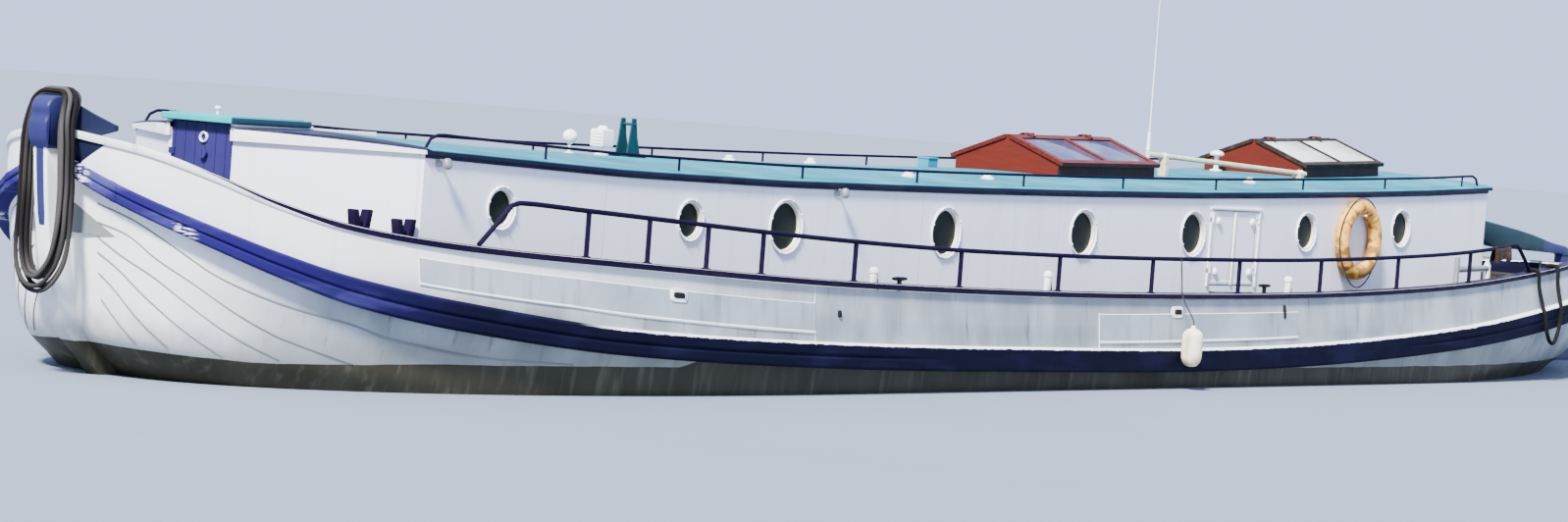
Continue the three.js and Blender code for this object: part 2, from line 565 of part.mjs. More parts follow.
function roof() {
  const wells = SKYLIGHTS.map(({ fore, aft }) => block([aft + SKYLIGHT.wall, fore - SKYLIGHT.wall],
    [-SKYLIGHT.half + SKYLIGHT.wall, SKYLIGHT.half - SKYLIGHT.wall], [0, HIGH]));
  const hatch = block([HATCH.aft, FAR], [-HATCH.half, HATCH.half], [0, HIGH]);
  const runner = (side) => block([HATCH.lidAft - HATCH.travel - 40, 9438],
    side > 0 ? [HATCH.half, HATCH.half + 30] : [-HATCH.half - 30, -HATCH.half], [2400, LID_BASE - GAP]);
  const body = wells.reduce((sum, well) => sum.subtract(well), roofForm(0)).subtract(hatch);
  const rails = joined(runner(1), runner(-1)).intersect(above(ROOF_LINE, 20));
  add('roof', joined(body, rails), 'turquoise');

  const { lidHalf, lidAft, lidFore, thick } = HATCH;
  const lid = block([lidAft, lidFore], [-lidHalf, lidHalf], [LID_BASE, LID_BASE + thick]);
  const grip = bar([9060, 0, LID_BASE + thick - 2], [9060, 0, LID_BASE + thick + 62], 12, 20, 12);
  add('front_lid', joined(lid, grip), 'turquoise');
}

// Skylights: a coaming with gable ends and a ridge beam, and a glazed sash on each slope
const grownRoof = roofForm(GAP);

// A skylight is drawn level about its own middle, then laid on the roof at the roof's own fall.
function skylight({ name, fore, aft }) {
  const { half, wall, eaves, ridge, ridgeHalf, beam } = SKYLIGHT;
  const reach = (fore - aft) / 2;
  const middle = (fore + aft) / 2;
  const fall = Math.atan2(valueOn(ROOF_LINE, aft) - valueOn(ROOF_LINE, fore), fore - aft);
  const lay = (body) => body.rotate([0, THREE.MathUtils.radToDeg(fall), 0])
    .translate([middle, 0, roofTop(middle, half)]);
  const sunk = 40;
  const gable = outline([[-half, -sunk], [half, -sunk], [half, eaves], [ridgeHalf, ridge], [-ridgeHalf, ridge],
    [-half, eaves]]);
  const room = outline([[-half + wall, -sunk - 1], [half - wall, -sunk - 1], [half - wall, eaves],
    [ridgeHalf, ridge - beam], [-ridgeHalf, ridge - beam], [-half + wall, eaves]]);
  const inside = reach - wall;
  const openSlope = (side) => frontPlate(outline([[side * (half - wall), eaves - 40], [side * ridgeHalf, ridge - 90],
    [side * ridgeHalf, HIGH], [side * (half - wall), HIGH]]), -inside, inside);
  const board = block([-reach, reach], [-8, 8], [ridge - 1, ridge + 26]);
  const [pinY, pinZ] = sashPin();
  const ears = SASH_HINGES.map((share) => share * reach).map((x) => joined(
    block([x, x + KNUCKLE], [-pinY, pinY], [pinZ - 4, pinZ + 8]),
    block([x, x + KNUCKLE], [-8, 8], [ridge, pinZ + 8]),
    bar([x, pinY, pinZ], [x + KNUCKLE, pinY, pinZ], 8, 8, 12),
    bar([x, -pinY, pinZ], [x + KNUCKLE, -pinY, pinZ], 8, 8, 12)));
  const frame = joined(frontPlate(gable, -reach, reach), board).subtract(frontPlate(room, -inside, inside))
    .subtract(openSlope(1)).subtract(openSlope(-1));
  add(`${name}_frame`, lay(joined(frame, ...ears)).subtract(grownRoof), 'mahogany');
  addPair(`${name}_sash`, lay(sash(reach)), 'mahogany');
}

// A place on the port slope of a skylight: the way down from the ridge, and the height above the slope
function onSlope(along, out) {
  const { half, eaves, ridge, ridgeHalf } = SKYLIGHT;
  const slope = Math.hypot(half - ridgeHalf, ridge - eaves);
  const [ty, tz] = [(half - ridgeHalf) / slope, (eaves - ridge) / slope];
  return [ridgeHalf + along * ty - out * tz, ridge + along * tz + out * ty];
}

const SASH_HINGES = [-0.62, 0.56];
const SASH_TOP = 4;
const sashPin = () => onSlope(SASH_TOP, GAP + SKYLIGHT.frame + 10);

// One sash lies on the port slope: a frame with two panes, each a thin plate between two recesses.
function sash(reach) {
  const { half, eaves, ridge, ridgeHalf, frame, overhang } = SKYLIGHT;
  const slope = Math.hypot(half - ridgeHalf, ridge - eaves);
  const plank = (from, to, low, high) => outline([onSlope(from, low), onSlope(to, low), onSlope(to, high),
    onSlope(from, high)]);
  const [low, high] = [GAP, GAP + frame];
  const glass = 8;
  const [paneLow, paneHigh] = [(low + high - glass) / 2, (low + high + glass) / 2];
  const end = reach + 30;
  const [stile, muntin] = [75, 60];
  const panes = [[-end + stile, -muntin / 2], [muntin / 2, end - stile]];
  const recesses = panes.flatMap(([x0, x1]) => [
    frontPlate(plank(70, slope - 20, low - 5, paneLow), x0, x1),
    frontPlate(plank(70, slope - 20, paneHigh, high + 5), x0, x1)]);
  const [pinY, pinZ] = sashPin();
  const leaves = SASH_HINGES.map((share) => share * reach + KNUCKLE + GAP).map((x) => joined(
    bar([x, pinY, pinZ], [x + KNUCKLE, pinY, pinZ], 8, 8, 12),
    frontPlate(plank(SASH_TOP, 60, high - 2, high + 14), x, x + KNUCKLE)));
  return joined(recesses.reduce((body, recess) => body.subtract(recess),
    frontPlate(plank(SASH_TOP, slope + overhang, low, high), -end, end)), ...leaves);
}

// A point above the cap rail at a place along the boat
function onCap(x, inward, lift) {
  const points = STATIONS.map((station) => [...planPoint(CAP_LINE, station, -inward), sheer('cap', station.way)]);
  const next = Math.max(1, points.findIndex(([px]) => px <= x));
  const [from, to] = [points[next - 1], points[next]];
  const share = (x - from[0]) / (to[0] - from[0]);
  return [x, from[1] + (to[1] - from[1]) * share, from[2] + (to[2] - from[2]) * share + lift];
}

// The rail's height above the cap, which grows a little towards the bow
function railHeight(x) {
  const { height, rise, riseFrom, riseTo } = HANDRAIL;
  return height + rise * THREE.MathUtils.clamp((x - riseFrom) / (riseTo - riseFrom), 0, 1);
}

function handrail() {
  const { radius, post, inward } = HANDRAIL;
  const level = [7950, 7400, 6600, 5560, 4430, 3030, 1630, 220, -1180, -2580, -3980, -5370, -6290];
  const line = [[8360, GAP + 4], [8290, 84], [8160, 228], [8090, 304], ...level.map((x) => [x, railHeight(x)]),
    [-6400, 268], [-6560, 160], [-6700, 48], [-6742, GAP + 4]];
  const rail = tube(line.map(([x, lift]) => onCap(x, inward, lift)), radius, 64, 6);
  const posts = HANDRAIL_POSTS.map((x) => bar(onCap(x, inward, -10), onCap(x, inward, railHeight(x)), post, post, 6));
  addPair('handrail', joined(rail, ...posts).subtract(capBars), 'navy');
}

function grabRail() {
  const { height, radius, pitch, first, posts, y } = GRABRAIL;
  const onRoof = (x, lift) => [x, y, roofTop(x, y) + lift];
  const xs = Array.from({ length: posts }, (_, i) => first - i * pitch);
  const line = [[8640, -4], [8590, height * 0.7], [8500, height], ...xs.map((x) => [x, height]), [-6420, height],
    [-6500, height * 0.7], [-6540, -4]];
  const rail = tube(line.map(([x, lift]) => onRoof(x, lift)), radius, 30, 6);
  const feet = xs.map((x) => bar(onRoof(x, -12), onRoof(x, height), radius * 0.8, radius * 0.8, 6));
  addPair('roof_rail', joined(rail, ...feet).subtract(grownRoof), 'navy');
}

// Mooring gear: two horned bollards on one base each side of the bow, and two T-shaped posts on each side deck
function mooring() {
  const horn = [[-75, 0], [75, 0], [75, 400], [96, 535], [40, 535], [22, 450], [-22, 450], [-40, 535], [-96, 535],
    [-75, 400]];
  const places = [[9130, 1222], [8830, 1345]];
  const bollards = places.map(([x, y]) => sidePlate(outline(horn), -32, 32)
    .translate([x, y, valueOn(DECK, x) - 40]));
  const base = bar([8750, 1380, valueOn(DECK, 8750)], [9230, 1180, valueOn(DECK, 9230)], 60, 60, 6);
  addPair('bollards', joined(base, ...bollards).intersect(above(DECK, GAP)), 'navy');
  for (const [name, x] of [['fore', 3725], ['aft', -1756]]) {
    const z = valueOn(DECK, x);
    const y = 1845;
    const top = 1612;
    const body = joined(bar([x, y, z - 20], [x, y, top], 22, 18, 8), bar([x - 88, y, top], [x + 88, y, top], 15, 15, 8),
      block([x - 50, x + 50], [y - 45, y + 45], [z - 20, z + 14])).intersect(above(DECK, GAP));
    addPair(`mooring_post_${name}`, body, 'charcoal');
  }
}

// Stands a fitting on the roof, its foot cut to the slope and crown.
function standOnRoof(body, x, y) {
  return body.translate([x, y, roofTop(x, Math.abs(y)) - 8]).subtract(grownRoof);
}

function roofGear() {
  const cheek = outline([[-80, 0], [80, 0], [52, 150], [34, 285], [-6, 285], [-30, 150]]);
  const tabernacle = joined(block([-110, 110], [-95, 95], [0, 22]), sidePlate(cheek, 46, 60).translate([0, 0, 18]),
    sidePlate(cheek, -60, -46).translate([0, 0, 18]), bar([14, -75, 258], [14, 75, 258], 11, 11, 8));
  add('tabernacle', standOnRoof(tabernacle, 4820, 0), 'teal');

  const lamp = joined(bar([0, 0, 0], [0, 0, 70], 26, 18, 10), block([-62, 62], [-62, 62], [66, 205]),
    bar([0, 0, 200], [0, 0, 232], 40, 22, 10), bar([0, 0, 0], [0, 0, 18], 55, 55, 12));
  add('roof_lantern', standOnRoof(lamp, 5140, 0), 'white');

  const mushroom = lathe([[0, 0], [60, 0], [60, 20], [22, 24], [22, 150], [64, 158], [64, 182], [30, 200], [0, 202]], 12);
  add('roof_vent', standOnRoof(mushroom, -4390, -300), 'white');
}

// The aerial on its stub mast, and the pole that lies beside it with its chock
function aerialAndPole() {
  const [x, y] = [-2350, 200];
  const floor = roofTop(x, y);
  const foot = bar([x, y, floor - 10], [x, y, floor + 12], 48, 48, 12).subtract(grownRoof);
  add('aerial', joined(foot, bar([x, y, floor + 5], [x, y, 2700], 16, 16, 8), bar([x, y, 2690], [x, y, 2850], 20, 15, 8),
    bar([x, y, 2845], [x, y, 4330], 6, 3, 6)), 'white');
  const pole = bar([-2290, 250, 2655], [-4310, 705, 2572], 23, 21, 10);
  const chock = block([-4240, -4190], [640, 730], [2450, 2580]).subtract(grownRoof);
  const foreChock = block([-2500, -2450], [255, 335], [2400, 2650]).subtract(grownRoof);
  add('roof_pole', joined(pole, chock, foreChock), 'cream');
}

// Loose gear: lifebuoy on its peg, fender, deck box
function looseGear() {
  const { x, z, ring, radius } = BUOY;
  const torus = new THREE.TorusGeometry(ring, radius, 12, 28).rotateX(Math.PI / 2);
  add('lifebuoy', solid(torus).translate([x, CABIN.half + radius + GAP, z]), 'yellow');
  const fenderX = -150;
  const side = WALE_LINE.half + WALE_PROUD + 86 + GAP;
  const fender = lathe([[0, 0], [50, 12], [82, 55], [86, 100], [86, 240], [80, 275], [44, 310], [20, 318], [20, 340],
    [0, 342]], 14);
  add('fender', fender.translate([fenderX, side, 948]), 'cream');
  add('deck_box', block([-10000, -9400], [-320, 320], [1400, 1665]).intersect(above(DECK, GAP)), 'brown');
}

// Ropes: the hank over the stem head, the fender's rope and the bight over the stern quarter
const HANK = [
  [10744, 3, 2618.4], [10748, 60, 2619.4], [10754, 106, 2616.4], [10764, 143, 2583.6], [10792, 160, 2500],
  [10840, 180, 2335], [10834, 196, 2120], [10826, 200, 1950], [10828, 190, 1720], [10846, 138, 1490],
  [10862, 40, 1385], [10862, -66, 1460], [10854, -126, 1640], [10850, -140, 1950], [10850, -146, 2150],
  [10848, -154, 2335], [10800, -158, 2500], [10768, -143, 2583.6], [10754, -106, 2616.4], [10748, -60, 2619.4],
  [10744, -3, 2618.4],
];
// The hank's half thickness, and how much its turns spread where they hang lowest
const HANK_SIZE = { radius: 58, spread: 62, rings: 34, sides: 8, from: 1900, to: 1450 };

function hank() {
  const { radius, spread, rings, sides, from, to } = HANK_SIZE;
  const path = new THREE.CatmullRomCurve3(HANK.map((p) => new THREE.Vector3(...p)), false, 'centripetal');
  return loft(Array.from({ length: rings + 1 }, (_, ring) => {
    const middle = path.getPointAt(ring / rings);
    const along = path.getTangentAt(ring / rings);
    const outward = along.clone().cross(new THREE.Vector3(1, 0, 0)).normalize();
    const across = along.clone().cross(outward);
    const wide = radius + spread * THREE.MathUtils.smoothstep(from - middle.z, 0, from - to);
    return Array.from({ length: sides }, (_unused, side) => {
      const turn = (2 * Math.PI * (side + 0.5)) / sides;
      return middle.clone().addScaledVector(outward, wide * Math.cos(turn))
        .addScaledVector(across, radius * Math.sin(turn)).toArray();
    });
  }));
}

const FENDER_ROPE = [[-180, 1947, 1830], [-178, 1956, 1770], [-172, 1976, 1640], [-166, 1986, 1560], [-160, 2010, 1500],
  [-152, 2090, 1390], [-150, 2131, 1325], [-150, 2133.3, 1290.7]];

// Place along the boat, distance outboard of the cap line, height, and whether the height counts from the cap's top.
// Both ends stand on the lugs inside the bulwark.
const BIGHT = [
  [-6795, -96, -83.7, true], [-6795, -97, -50, true], [-6795, -94, -18, true], [-6796, -74, 12, true],
  [-6798, -30, 19, true], [-6802, 20, 18, true], [-6806, 48, 4, true], [-6810, 60, -35, true],
  [-6822, 72, -160, true], [-6845, 118, 1460, false], [-6860, 140, 1390, false], [-6930, 144, 1230, false],
  [-7040, 144, 1130, false], [-7160, 144, 1135, false], [-7260, 144, 1270, false], [-7300, 142, 1430, false],
  [-7312, 118, 1510, false], [-7325, 72, -160, true], [-7335, 60, -35, true], [-7339, 48, 4, true],
  [-7343, 20, 18, true], [-7348, -30, 19, true], [-7351, -74, 12, true], [-7352, -94, -18, true],
  [-7352, -97, -50, true], [-7352, -96, -83.7, true],
];
const BIGHT_RADIUS = 19;

function ropes() {
  add('bow_hank', hank(), 'rope');
  add('fender_rope', tube(FENDER_ROPE, 6, 14, 8), 'rope');
  const over = BIGHT.map(([x, out, z, fromCap]) => {
    const [, y, top] = onCap(x, -out, 0);
    return [x, y, fromCap ? top + z : z];
  });
  add('stern_bight', tube(over, BIGHT_RADIUS, 56, 8).subtract(capBars), 'rope');
}

hullAndBulwarks();
stem();
sternFrame();
propeller();
rudderAndTiller();
cabin();
doors();
roof();
SKYLIGHTS.forEach(skylight);
handrail();
grabRail();
mooring();
roofGear();
aerialAndPole();
looseGear();
ropes();

export default boat;
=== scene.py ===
# %% [markdown]
# # A houseboat made from a steel sailing barge
#
# The boat lies afloat and is seen from ahead on its port side. Its construction comes ready made as fixed
# solids, which carry the joints. This lesson dresses them: fine plating, ropes, fittings and paint. Each
# new piece is a surface that a short formula gives. First the solids are loaded, and their box is noted.

# %% Load the boat's solids
import math

import bmesh
import bpy
import numpy as np
from mathutils import Matrix, Vector


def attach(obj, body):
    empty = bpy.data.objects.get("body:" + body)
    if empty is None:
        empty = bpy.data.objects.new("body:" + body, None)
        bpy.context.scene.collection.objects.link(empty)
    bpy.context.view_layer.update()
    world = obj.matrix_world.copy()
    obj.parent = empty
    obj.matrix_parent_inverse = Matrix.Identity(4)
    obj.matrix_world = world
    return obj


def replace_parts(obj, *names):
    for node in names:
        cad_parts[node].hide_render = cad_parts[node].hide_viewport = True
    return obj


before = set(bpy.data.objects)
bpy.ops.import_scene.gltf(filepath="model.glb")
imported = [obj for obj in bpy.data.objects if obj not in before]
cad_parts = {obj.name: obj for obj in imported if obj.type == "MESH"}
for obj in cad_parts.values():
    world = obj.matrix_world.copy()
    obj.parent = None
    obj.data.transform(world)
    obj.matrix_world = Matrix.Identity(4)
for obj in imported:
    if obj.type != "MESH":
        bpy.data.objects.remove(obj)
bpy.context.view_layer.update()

# %% [markdown]
# ## Camera
#
# The photograph was taken with a long lens, low over the water. A camera could be nudged by eye, but
# straight rows of posts and round windows fix its place and angles, so those are given as they were solved.
# The whole view leans by about four degrees.

# %% Camera
CAMERA_AT = Vector((30.1644, 20.2844, 2.9176))
YAW = 0.6364        # how far the view swings from straight aft, radians
DIP = 0.0384        # below level
LEAN = 0.0759       # turn about the view line
FOCAL = 97.752      # millimetres, on a sensor 36 mm wide


def camera_turn(yaw, dip, lean):
    """The camera's axes as columns: right and up, leant about the view line, and backwards."""
    ahead = Vector((-math.cos(yaw) * math.cos(dip), -math.sin(yaw) * math.cos(dip), -math.sin(dip)))
    right = ahead.cross(Vector((0, 0, 1))).normalized()
    up = right.cross(ahead)
    across = right * math.cos(lean) + up * math.sin(lean)
    return Matrix((across, up * math.cos(lean) - right * math.sin(lean), -ahead)).transposed()


camera_data = bpy.data.cameras.new("camera")
camera_data.lens = FOCAL
camera_data.sensor_width = 36
camera_data.clip_end = 500
camera = bpy.data.objects.new("camera", camera_data)
camera.matrix_world = Matrix.Translation(CAMERA_AT) @ camera_turn(YAW, DIP, LEAN).to_4x4()
bpy.context.scene.collection.objects.link(camera)
bpy.context.scene.camera = camera
print("the camera stands", round((CAMERA_AT - Vector((10.7, 0, 2))).length, 1), "m from the stem")

# %% [markdown]
# ## Surfaces
#
# Almost everything here is a grid of points: rows along the piece, columns across it or round it. Box
# modelling would do for the plain parts, but a hull is a formula, and so the same few helpers turn grids into
# faces, close their ends, and gather them into one object that rides on a body of the boat.

# %% Grids of points
def sheet(points, closed=False, looped=False):
    """Quads over a grid of points [rows, columns, 3]. A closed one joins its last column to its first, and a
    looped one its last row to its first."""
    rows, columns = points.shape[:2]
    r = np.arange(rows if looped else rows - 1)[:, None]
    c = np.arange(columns if closed else columns - 1)[None, :]
    here, beyond, following = r * columns, (r + 1) % rows * columns, (c + 1) % columns
    quads = np.stack([here + c, here + following, beyond + following, beyond + c], -1)
    return points.reshape(-1, 3), [quads.reshape(-1, 4)]


def closed_tube(points):
    """A closed sheet with a fan of triangles over each end ring, round the ring's middle."""
    verts, faces = sheet(points, closed=True)
    columns = points.shape[1]
    ring = np.arange(columns)
    following = (ring + 1) % columns
    base = len(verts) - columns
    first = np.stack([following, ring, np.full(columns, len(verts))], -1)
    last = np.stack([base + ring, base + following, np.full(columns, len(verts) + 1)], -1)
    return np.concatenate([verts, points[:1].mean(1), points[-1:].mean(1)]), [*faces, first, last]


def mirrored(part):
    """The same part on the other side of the centreline."""
    points, faces = part[:2]
    return (points * np.array([1, -1, 1]), [f[:, ::-1] for f in faces], *part[2:])


def both(parts):
    """The parts, and the same parts on the other side."""
    return [*parts, *map(mirrored, parts)]


SIDES = {"port": lambda part: part, "starboard": mirrored}
print("a grid of 3 by 4 points has", len(sheet(np.zeros((3, 4, 3)))[1][0]), "quads")

# %% [markdown]
# A piece gathers its parts into one mesh. Joining objects would do the same, but here the points of all parts
# stay in the boat's own frame from the start, with a map along the piece for the finishes that need one.

# %% Parts gathered into a piece
def piece(name, parts, material, body="boat", sharp=35.0):
    """One object from parts of (points, faces) or (points, faces, uv). Edges bent by more than sharp degrees
    stay crisp."""
    verts, faces, uvs, count = [], [], [], 0
    for points, groups, *uv in parts:
        points = np.asarray(points, float).reshape(-1, 3)
        verts.append(points)
        uvs.append(uv[0].reshape(-1, 2) if uv else points[:, [0, 2]])
        for group in groups:
            faces.extend((np.asarray(group) + count).tolist())
        count += len(points)
    mesh = bpy.data.meshes.new(name)
    mesh.from_pydata(np.concatenate(verts).tolist(), [], faces)
    corners = np.empty(len(mesh.loops), int)
    mesh.loops.foreach_get("vertex_index", corners)
    mesh.uv_layers.new(name="along").data.foreach_set("uv", np.concatenate(uvs)[corners].ravel())
    welded = bmesh.new()
    welded.from_mesh(mesh)
    bmesh.ops.remove_doubles(welded, verts=welded.verts, dist=1e-5)
    bmesh.ops.dissolve_degenerate(welded, edges=welded.edges, dist=1e-6)
    bmesh.ops.recalc_face_normals(welded, faces=welded.faces)
    welded.to_mesh(mesh)
    welded.free()
    mesh.polygons.foreach_set("use_smooth", np.ones(len(mesh.polygons), bool))
    mesh.set_sharp_from_angle(angle=math.radians(sharp))
    mesh.materials.append(material)
    made = bpy.data.objects.new(name, mesh)
    bpy.context.scene.collection.objects.link(made)
    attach(made, body)
    return made


print("parts can be gathered into pieces")

# %% [markdown]
# ## Sections carried along a path
#
# Rails, ropes and bars are one section carried along a line. A bevelled curve would do, but with the rings
# worked out here a rope can twist its strands and a bar can taper.

# %% Bars and smooth paths
def ring_of(radius, sides):
    """A circle's corners in its own plane, as [sides, 2]."""
    angle = np.linspace(0, 2 * np.pi, sides, endpoint=False)
    return np.asarray(radius)[..., None, None] * np.stack([np.cos(angle), np.sin(angle)], -1)


def frames_along(path):
    """Two directions square to a path at each point. Each is the last one less its part along the path."""
    ahead = np.gradient(path, axis=0)
    ahead /= np.linalg.norm(ahead, axis=1)[:, None]
    side = np.eye(3)[np.argmin(np.abs(ahead[0]))]
    sides = []
    for way in ahead:
        side = side - way * (side @ way)
        side /= np.linalg.norm(side)
        sides.append(side)
    return np.array(sides), np.cross(ahead, sides)


def carried(path, section):
    """A section [n, 2], or one per point, carried along a path: the point plus u sideways and v crossways."""
    side, cross = frames_along(path)
    section = np.broadcast_to(section, (len(path), *np.shape(section)[-2:]))
    return path[:, None] + section[..., :1] * side[:, None] + section[..., 1:] * cross[:, None]


def bar(a, b, radius, sides=12, steps=2):
    """A round bar from a to b; its radius is one number or one for each step along."""
    path = np.linspace(a, b, max(steps, np.size(radius)))
    return closed_tube(carried(path, ring_of(np.broadcast_to(radius, len(path)), sides)))


def between(a, b, c, d, s):
    """The cubic from b to c whose slope at each is half the step between its neighbours."""
    return b + 0.5 * s * (c - a + s * (2 * a - 5 * b + 4 * c - d + s * (3 * b - a - 3 * c + d)))


def curve_through(points, count):
    """A smooth curve through points, in count even steps, made of such cubics."""
    p = np.asarray(points, float)
    p = np.concatenate([2 * p[:1] - p[1:2], p, 2 * p[-1:] - p[-2:-1]])
    s = np.linspace(0, 1, 24, endpoint=False)[:, None, None]
    fine = between(p[:-3], p[1:-2], p[2:-1], p[3:], s)
    fine = np.concatenate([fine.transpose(1, 0, 2).reshape(-1, p.shape[1]), p[-2:-1]])
    way = np.concatenate([[0], np.cumsum(np.linalg.norm(np.diff(fine, axis=0), axis=1))])
    even = np.linspace(0, way[-1], count)
    return np.stack([np.interp(even, way, column) for column in fine.T], -1)


def length_of(path):
    """The length of a path: the sum of its steps."""
    return float(np.linalg.norm(np.diff(path, axis=0), axis=1).sum())


sample = curve_through([(0, 0, 0), (1, 0, 0), (1, 1, 0)], 9)
print("a smooth path through three points is", round(length_of(sample), 2), "long")

# %% [markdown]
# ## Turned forms and plates
#
# Caps, knobs and vents are turned on a lathe, and bars and brackets are cut from plate whose rims have gone
# soft under paint. Blender's Screw and Bevel modifiers make both; a grid with its rings placed by formula
# gives the same and keeps the faces few.

# %% Lathed forms and plates
def rings_about(profile, at, axis, sides):
    """A ring for each (radius, height) of a profile, about an axis through a point."""
    turn = np.array(Vector((0, 0, 1)).rotation_difference(Vector(axis)).to_matrix())
    profile = np.asarray(profile, float)
    rings = np.concatenate([ring_of(profile[:, 0], sides),
                            np.broadcast_to(profile[:, 1, None, None], (len(profile), sides, 1))], -1)
    return rings @ turn.T + np.asarray(at, float)


def lathed(profile, at, axis=(0, 0, 1), sides=24):
    """A profile turned about an axis, and closed at both ends."""
    return closed_tube(rings_about(profile, at, axis, sides))


def turned(profile, at, axis=(0, 0, 1), sides=24):
    """A closed profile turned about an axis, as a ring."""
    return sheet(rings_about(profile, at, axis, sides), closed=True, looped=True)


def slab(outline, low, high, edge, place):
    """A plate of an outline [n, 2] from low to high, its rims rounded: near a rim the outline moves in by
    edge less the root of edge squared less the way into the rim squared. place(u, v, w) gives the points."""
    outline = np.asarray(outline, float)
    run = np.roll(outline, -1, 0) - np.roll(outline, 1, 0)
    area = np.sum(outline[:, 0] * np.roll(outline[:, 1], -1) - outline[:, 1] * np.roll(outline[:, 0], -1))
    normal = np.stack([run[:, 1], -run[:, 0]], -1) * np.sign(area)
    normal /= np.linalg.norm(normal, axis=1)[:, None]
    into = edge * np.sin(np.linspace(0, np.pi / 2, 4))
    inset = edge - np.sqrt(np.maximum(edge**2 - into**2, 0))
    w = np.concatenate([low + edge - into[::-1], high - edge + into])
    inset = np.concatenate([inset[::-1], inset])
    flat = outline[None] - normal[None] * inset[:, None, None]
    points = place(flat[..., 0], flat[..., 1], np.broadcast_to(w[:, None], flat.shape[:2]))
    verts, faces = sheet(points, closed=True)
    count = len(outline)
    ring = np.arange(count)[None]
    return verts, [*faces, ring[:, ::-1], ring + len(verts) - count]


# a plate is drawn from the side, from ahead or from above, and its thickness lies across that view
def seen_from_side(x, z, y):
    return np.stack([x, y, z], -1)


def seen_from_front(y, z, x):
    return np.stack([x, y, z], -1)


def seen_from_above(x, y, z):
    return np.stack([x, y, z], -1)


def box(x, y, z, edge=0.003):
    """A block between pairs of limits, with rounded upright edges where it has any to show."""
    outline = [(x[0], y[0]), (x[1], y[0]), (x[1], y[1]), (x[0], y[1])]
    return slab(outline, z[0], z[1], edge, seen_from_above)


print("a box has", len(box((0, 1), (0, 1), (0, 1))[0]), "points")

# %% [markdown]
# ## The boat's lines
#
# A hull is drawn from level lines in plan and from the height of its edges. Each level line is a quarter of
# a superellipse at the bow and at the stern, with a straight side between. Heights go by the way round the side
# from the stem. The solids have the same driving sizes, so a fine skin on these lines lies on them.

# %% Level lines and heights
STEM_HALF = 0.060
BOW_SHOULDER, STERN_SHOULDER = 4.4, -5.0
# half width, bow tip, fullness there, stern tip, fullness there, height, climb towards the stem, and the stern
LEVELS = np.array([
    (1.380, 8.700, 2.0, -8.400, 1.80, 0.000, 0.000, 0.000),
    (1.650, 9.250, 2.1, -9.000, 1.60, 0.110, 0.130, 0.090),
    (1.815, 9.800, 2.2, -9.700, 1.45, 0.330, 0.230, 0.150),
    (1.905, 10.230, 2.3, -10.300, 1.45, 0.700, 0.150, 0.090),
    (1.930, 10.520, 2.3, -10.560, 1.75, 0.930, 0.230, 0.260),
])
WALE_PLAN = (1.985, 10.700, 2.3, -10.720, 2.15)
CAP_PLAN = (1.940, 10.745, 2.3, -10.660, 2.1)
# way round the side from the stem, height of the cap, height of the wale's top, depth of the wale
SHEER = np.array([
    (0.0, 2.372, 2.190, 0.118), (0.6, 2.285, 1.962, 0.132), (1.05, 2.155, 1.805, 0.145),
    (1.5, 2.000, 1.662, 0.165), (2.05, 1.868, 1.522, 0.190), (2.9, 1.776, 1.388, 0.200),
    (4.4, 1.698, 1.232, 0.190), (6.9, 1.596, 1.140, 0.195), (9.7, 1.546, 1.099, 0.195),
    (12.0, 1.545, 1.090, 0.195), (14.2, 1.575, 1.140, 0.200), (16.5, 1.665, 1.270, 0.210),
    (18.4, 1.800, 1.450, 0.222), (20.5, 1.950, 1.660, 0.200), (22.7, 2.010, 1.790, 0.170),
])
CLIMB_BOW, CLIMB_STERN = 2.150, 2.000      # how quickly a level line's climb fades from each end
print("level lines:", len(LEVELS) + 2, "and places with heights:", len(SHEER))

# %% Points of a level line
def plan_at(plan, t, out=0.0):
    """A point of a level line: t runs from 0 to 1 round the bow, to 2 along the side, to 3 round the stern.
    Round an end x goes with the cosine and y with the sine of the turn, each to the power 2 / fullness."""
    half, bow, bow_full, stern, stern_full = plan[:5]
    t = np.asarray(t, float)
    bow_turn = np.clip(t, 0, 1) * np.pi / 2
    stern_turn = np.clip(3 - t, 0, 1) * np.pi / 2
    x_bow = BOW_SHOULDER + (bow + out - BOW_SHOULDER) * np.cos(bow_turn) ** (2 / bow_full)
    x_stern = STERN_SHOULDER + (stern - out - STERN_SHOULDER) * np.cos(stern_turn) ** (2 / stern_full)
    x_side = BOW_SHOULDER + (STERN_SHOULDER - BOW_SHOULDER) * (t - 1)
    width = np.where(t < 1, np.sin(bow_turn) ** (2 / bow_full), 1.0)
    width = np.where(t > 2, np.sin(stern_turn) ** (2 / stern_full), width)
    x = np.where(t < 1, x_bow, np.where(t > 2, x_stern, x_side))
    return x, STEM_HALF + out + (half - STEM_HALF) * width


def sheer(column, way):
    """A smooth line through one column of the table: cubics whose slopes come from the rows on either side."""
    xs, ys = SHEER[:, 0], SHEER[:, column]
    slopes = np.gradient(ys)
    slopes[1:-1] = (ys[2:] - ys[:-2]) / (xs[2:] - xs[:-2])
    slopes[0] = (ys[1] - ys[0]) / (xs[1] - xs[0])
    slopes[-1] = (ys[-1] - ys[-2]) / (xs[-1] - xs[-2])
    k = np.clip(np.searchsorted(xs, way) - 1, 0, len(xs) - 2)
    span = xs[k + 1] - xs[k]
    s = np.clip((way - xs[k]) / span, 0, 1)
    return ((2 * s**3 - 3 * s**2 + 1) * ys[k] + (s**3 - 2 * s**2 + s) * span * slopes[k]
            + (3 * s**2 - 2 * s**3) * ys[k + 1] + (s**3 - s**2) * span * slopes[k + 1])


print("the cap's line is", round(float(plan_at(CAP_PLAN, 1.5)[1]), 2), "m off the centreline amidships")

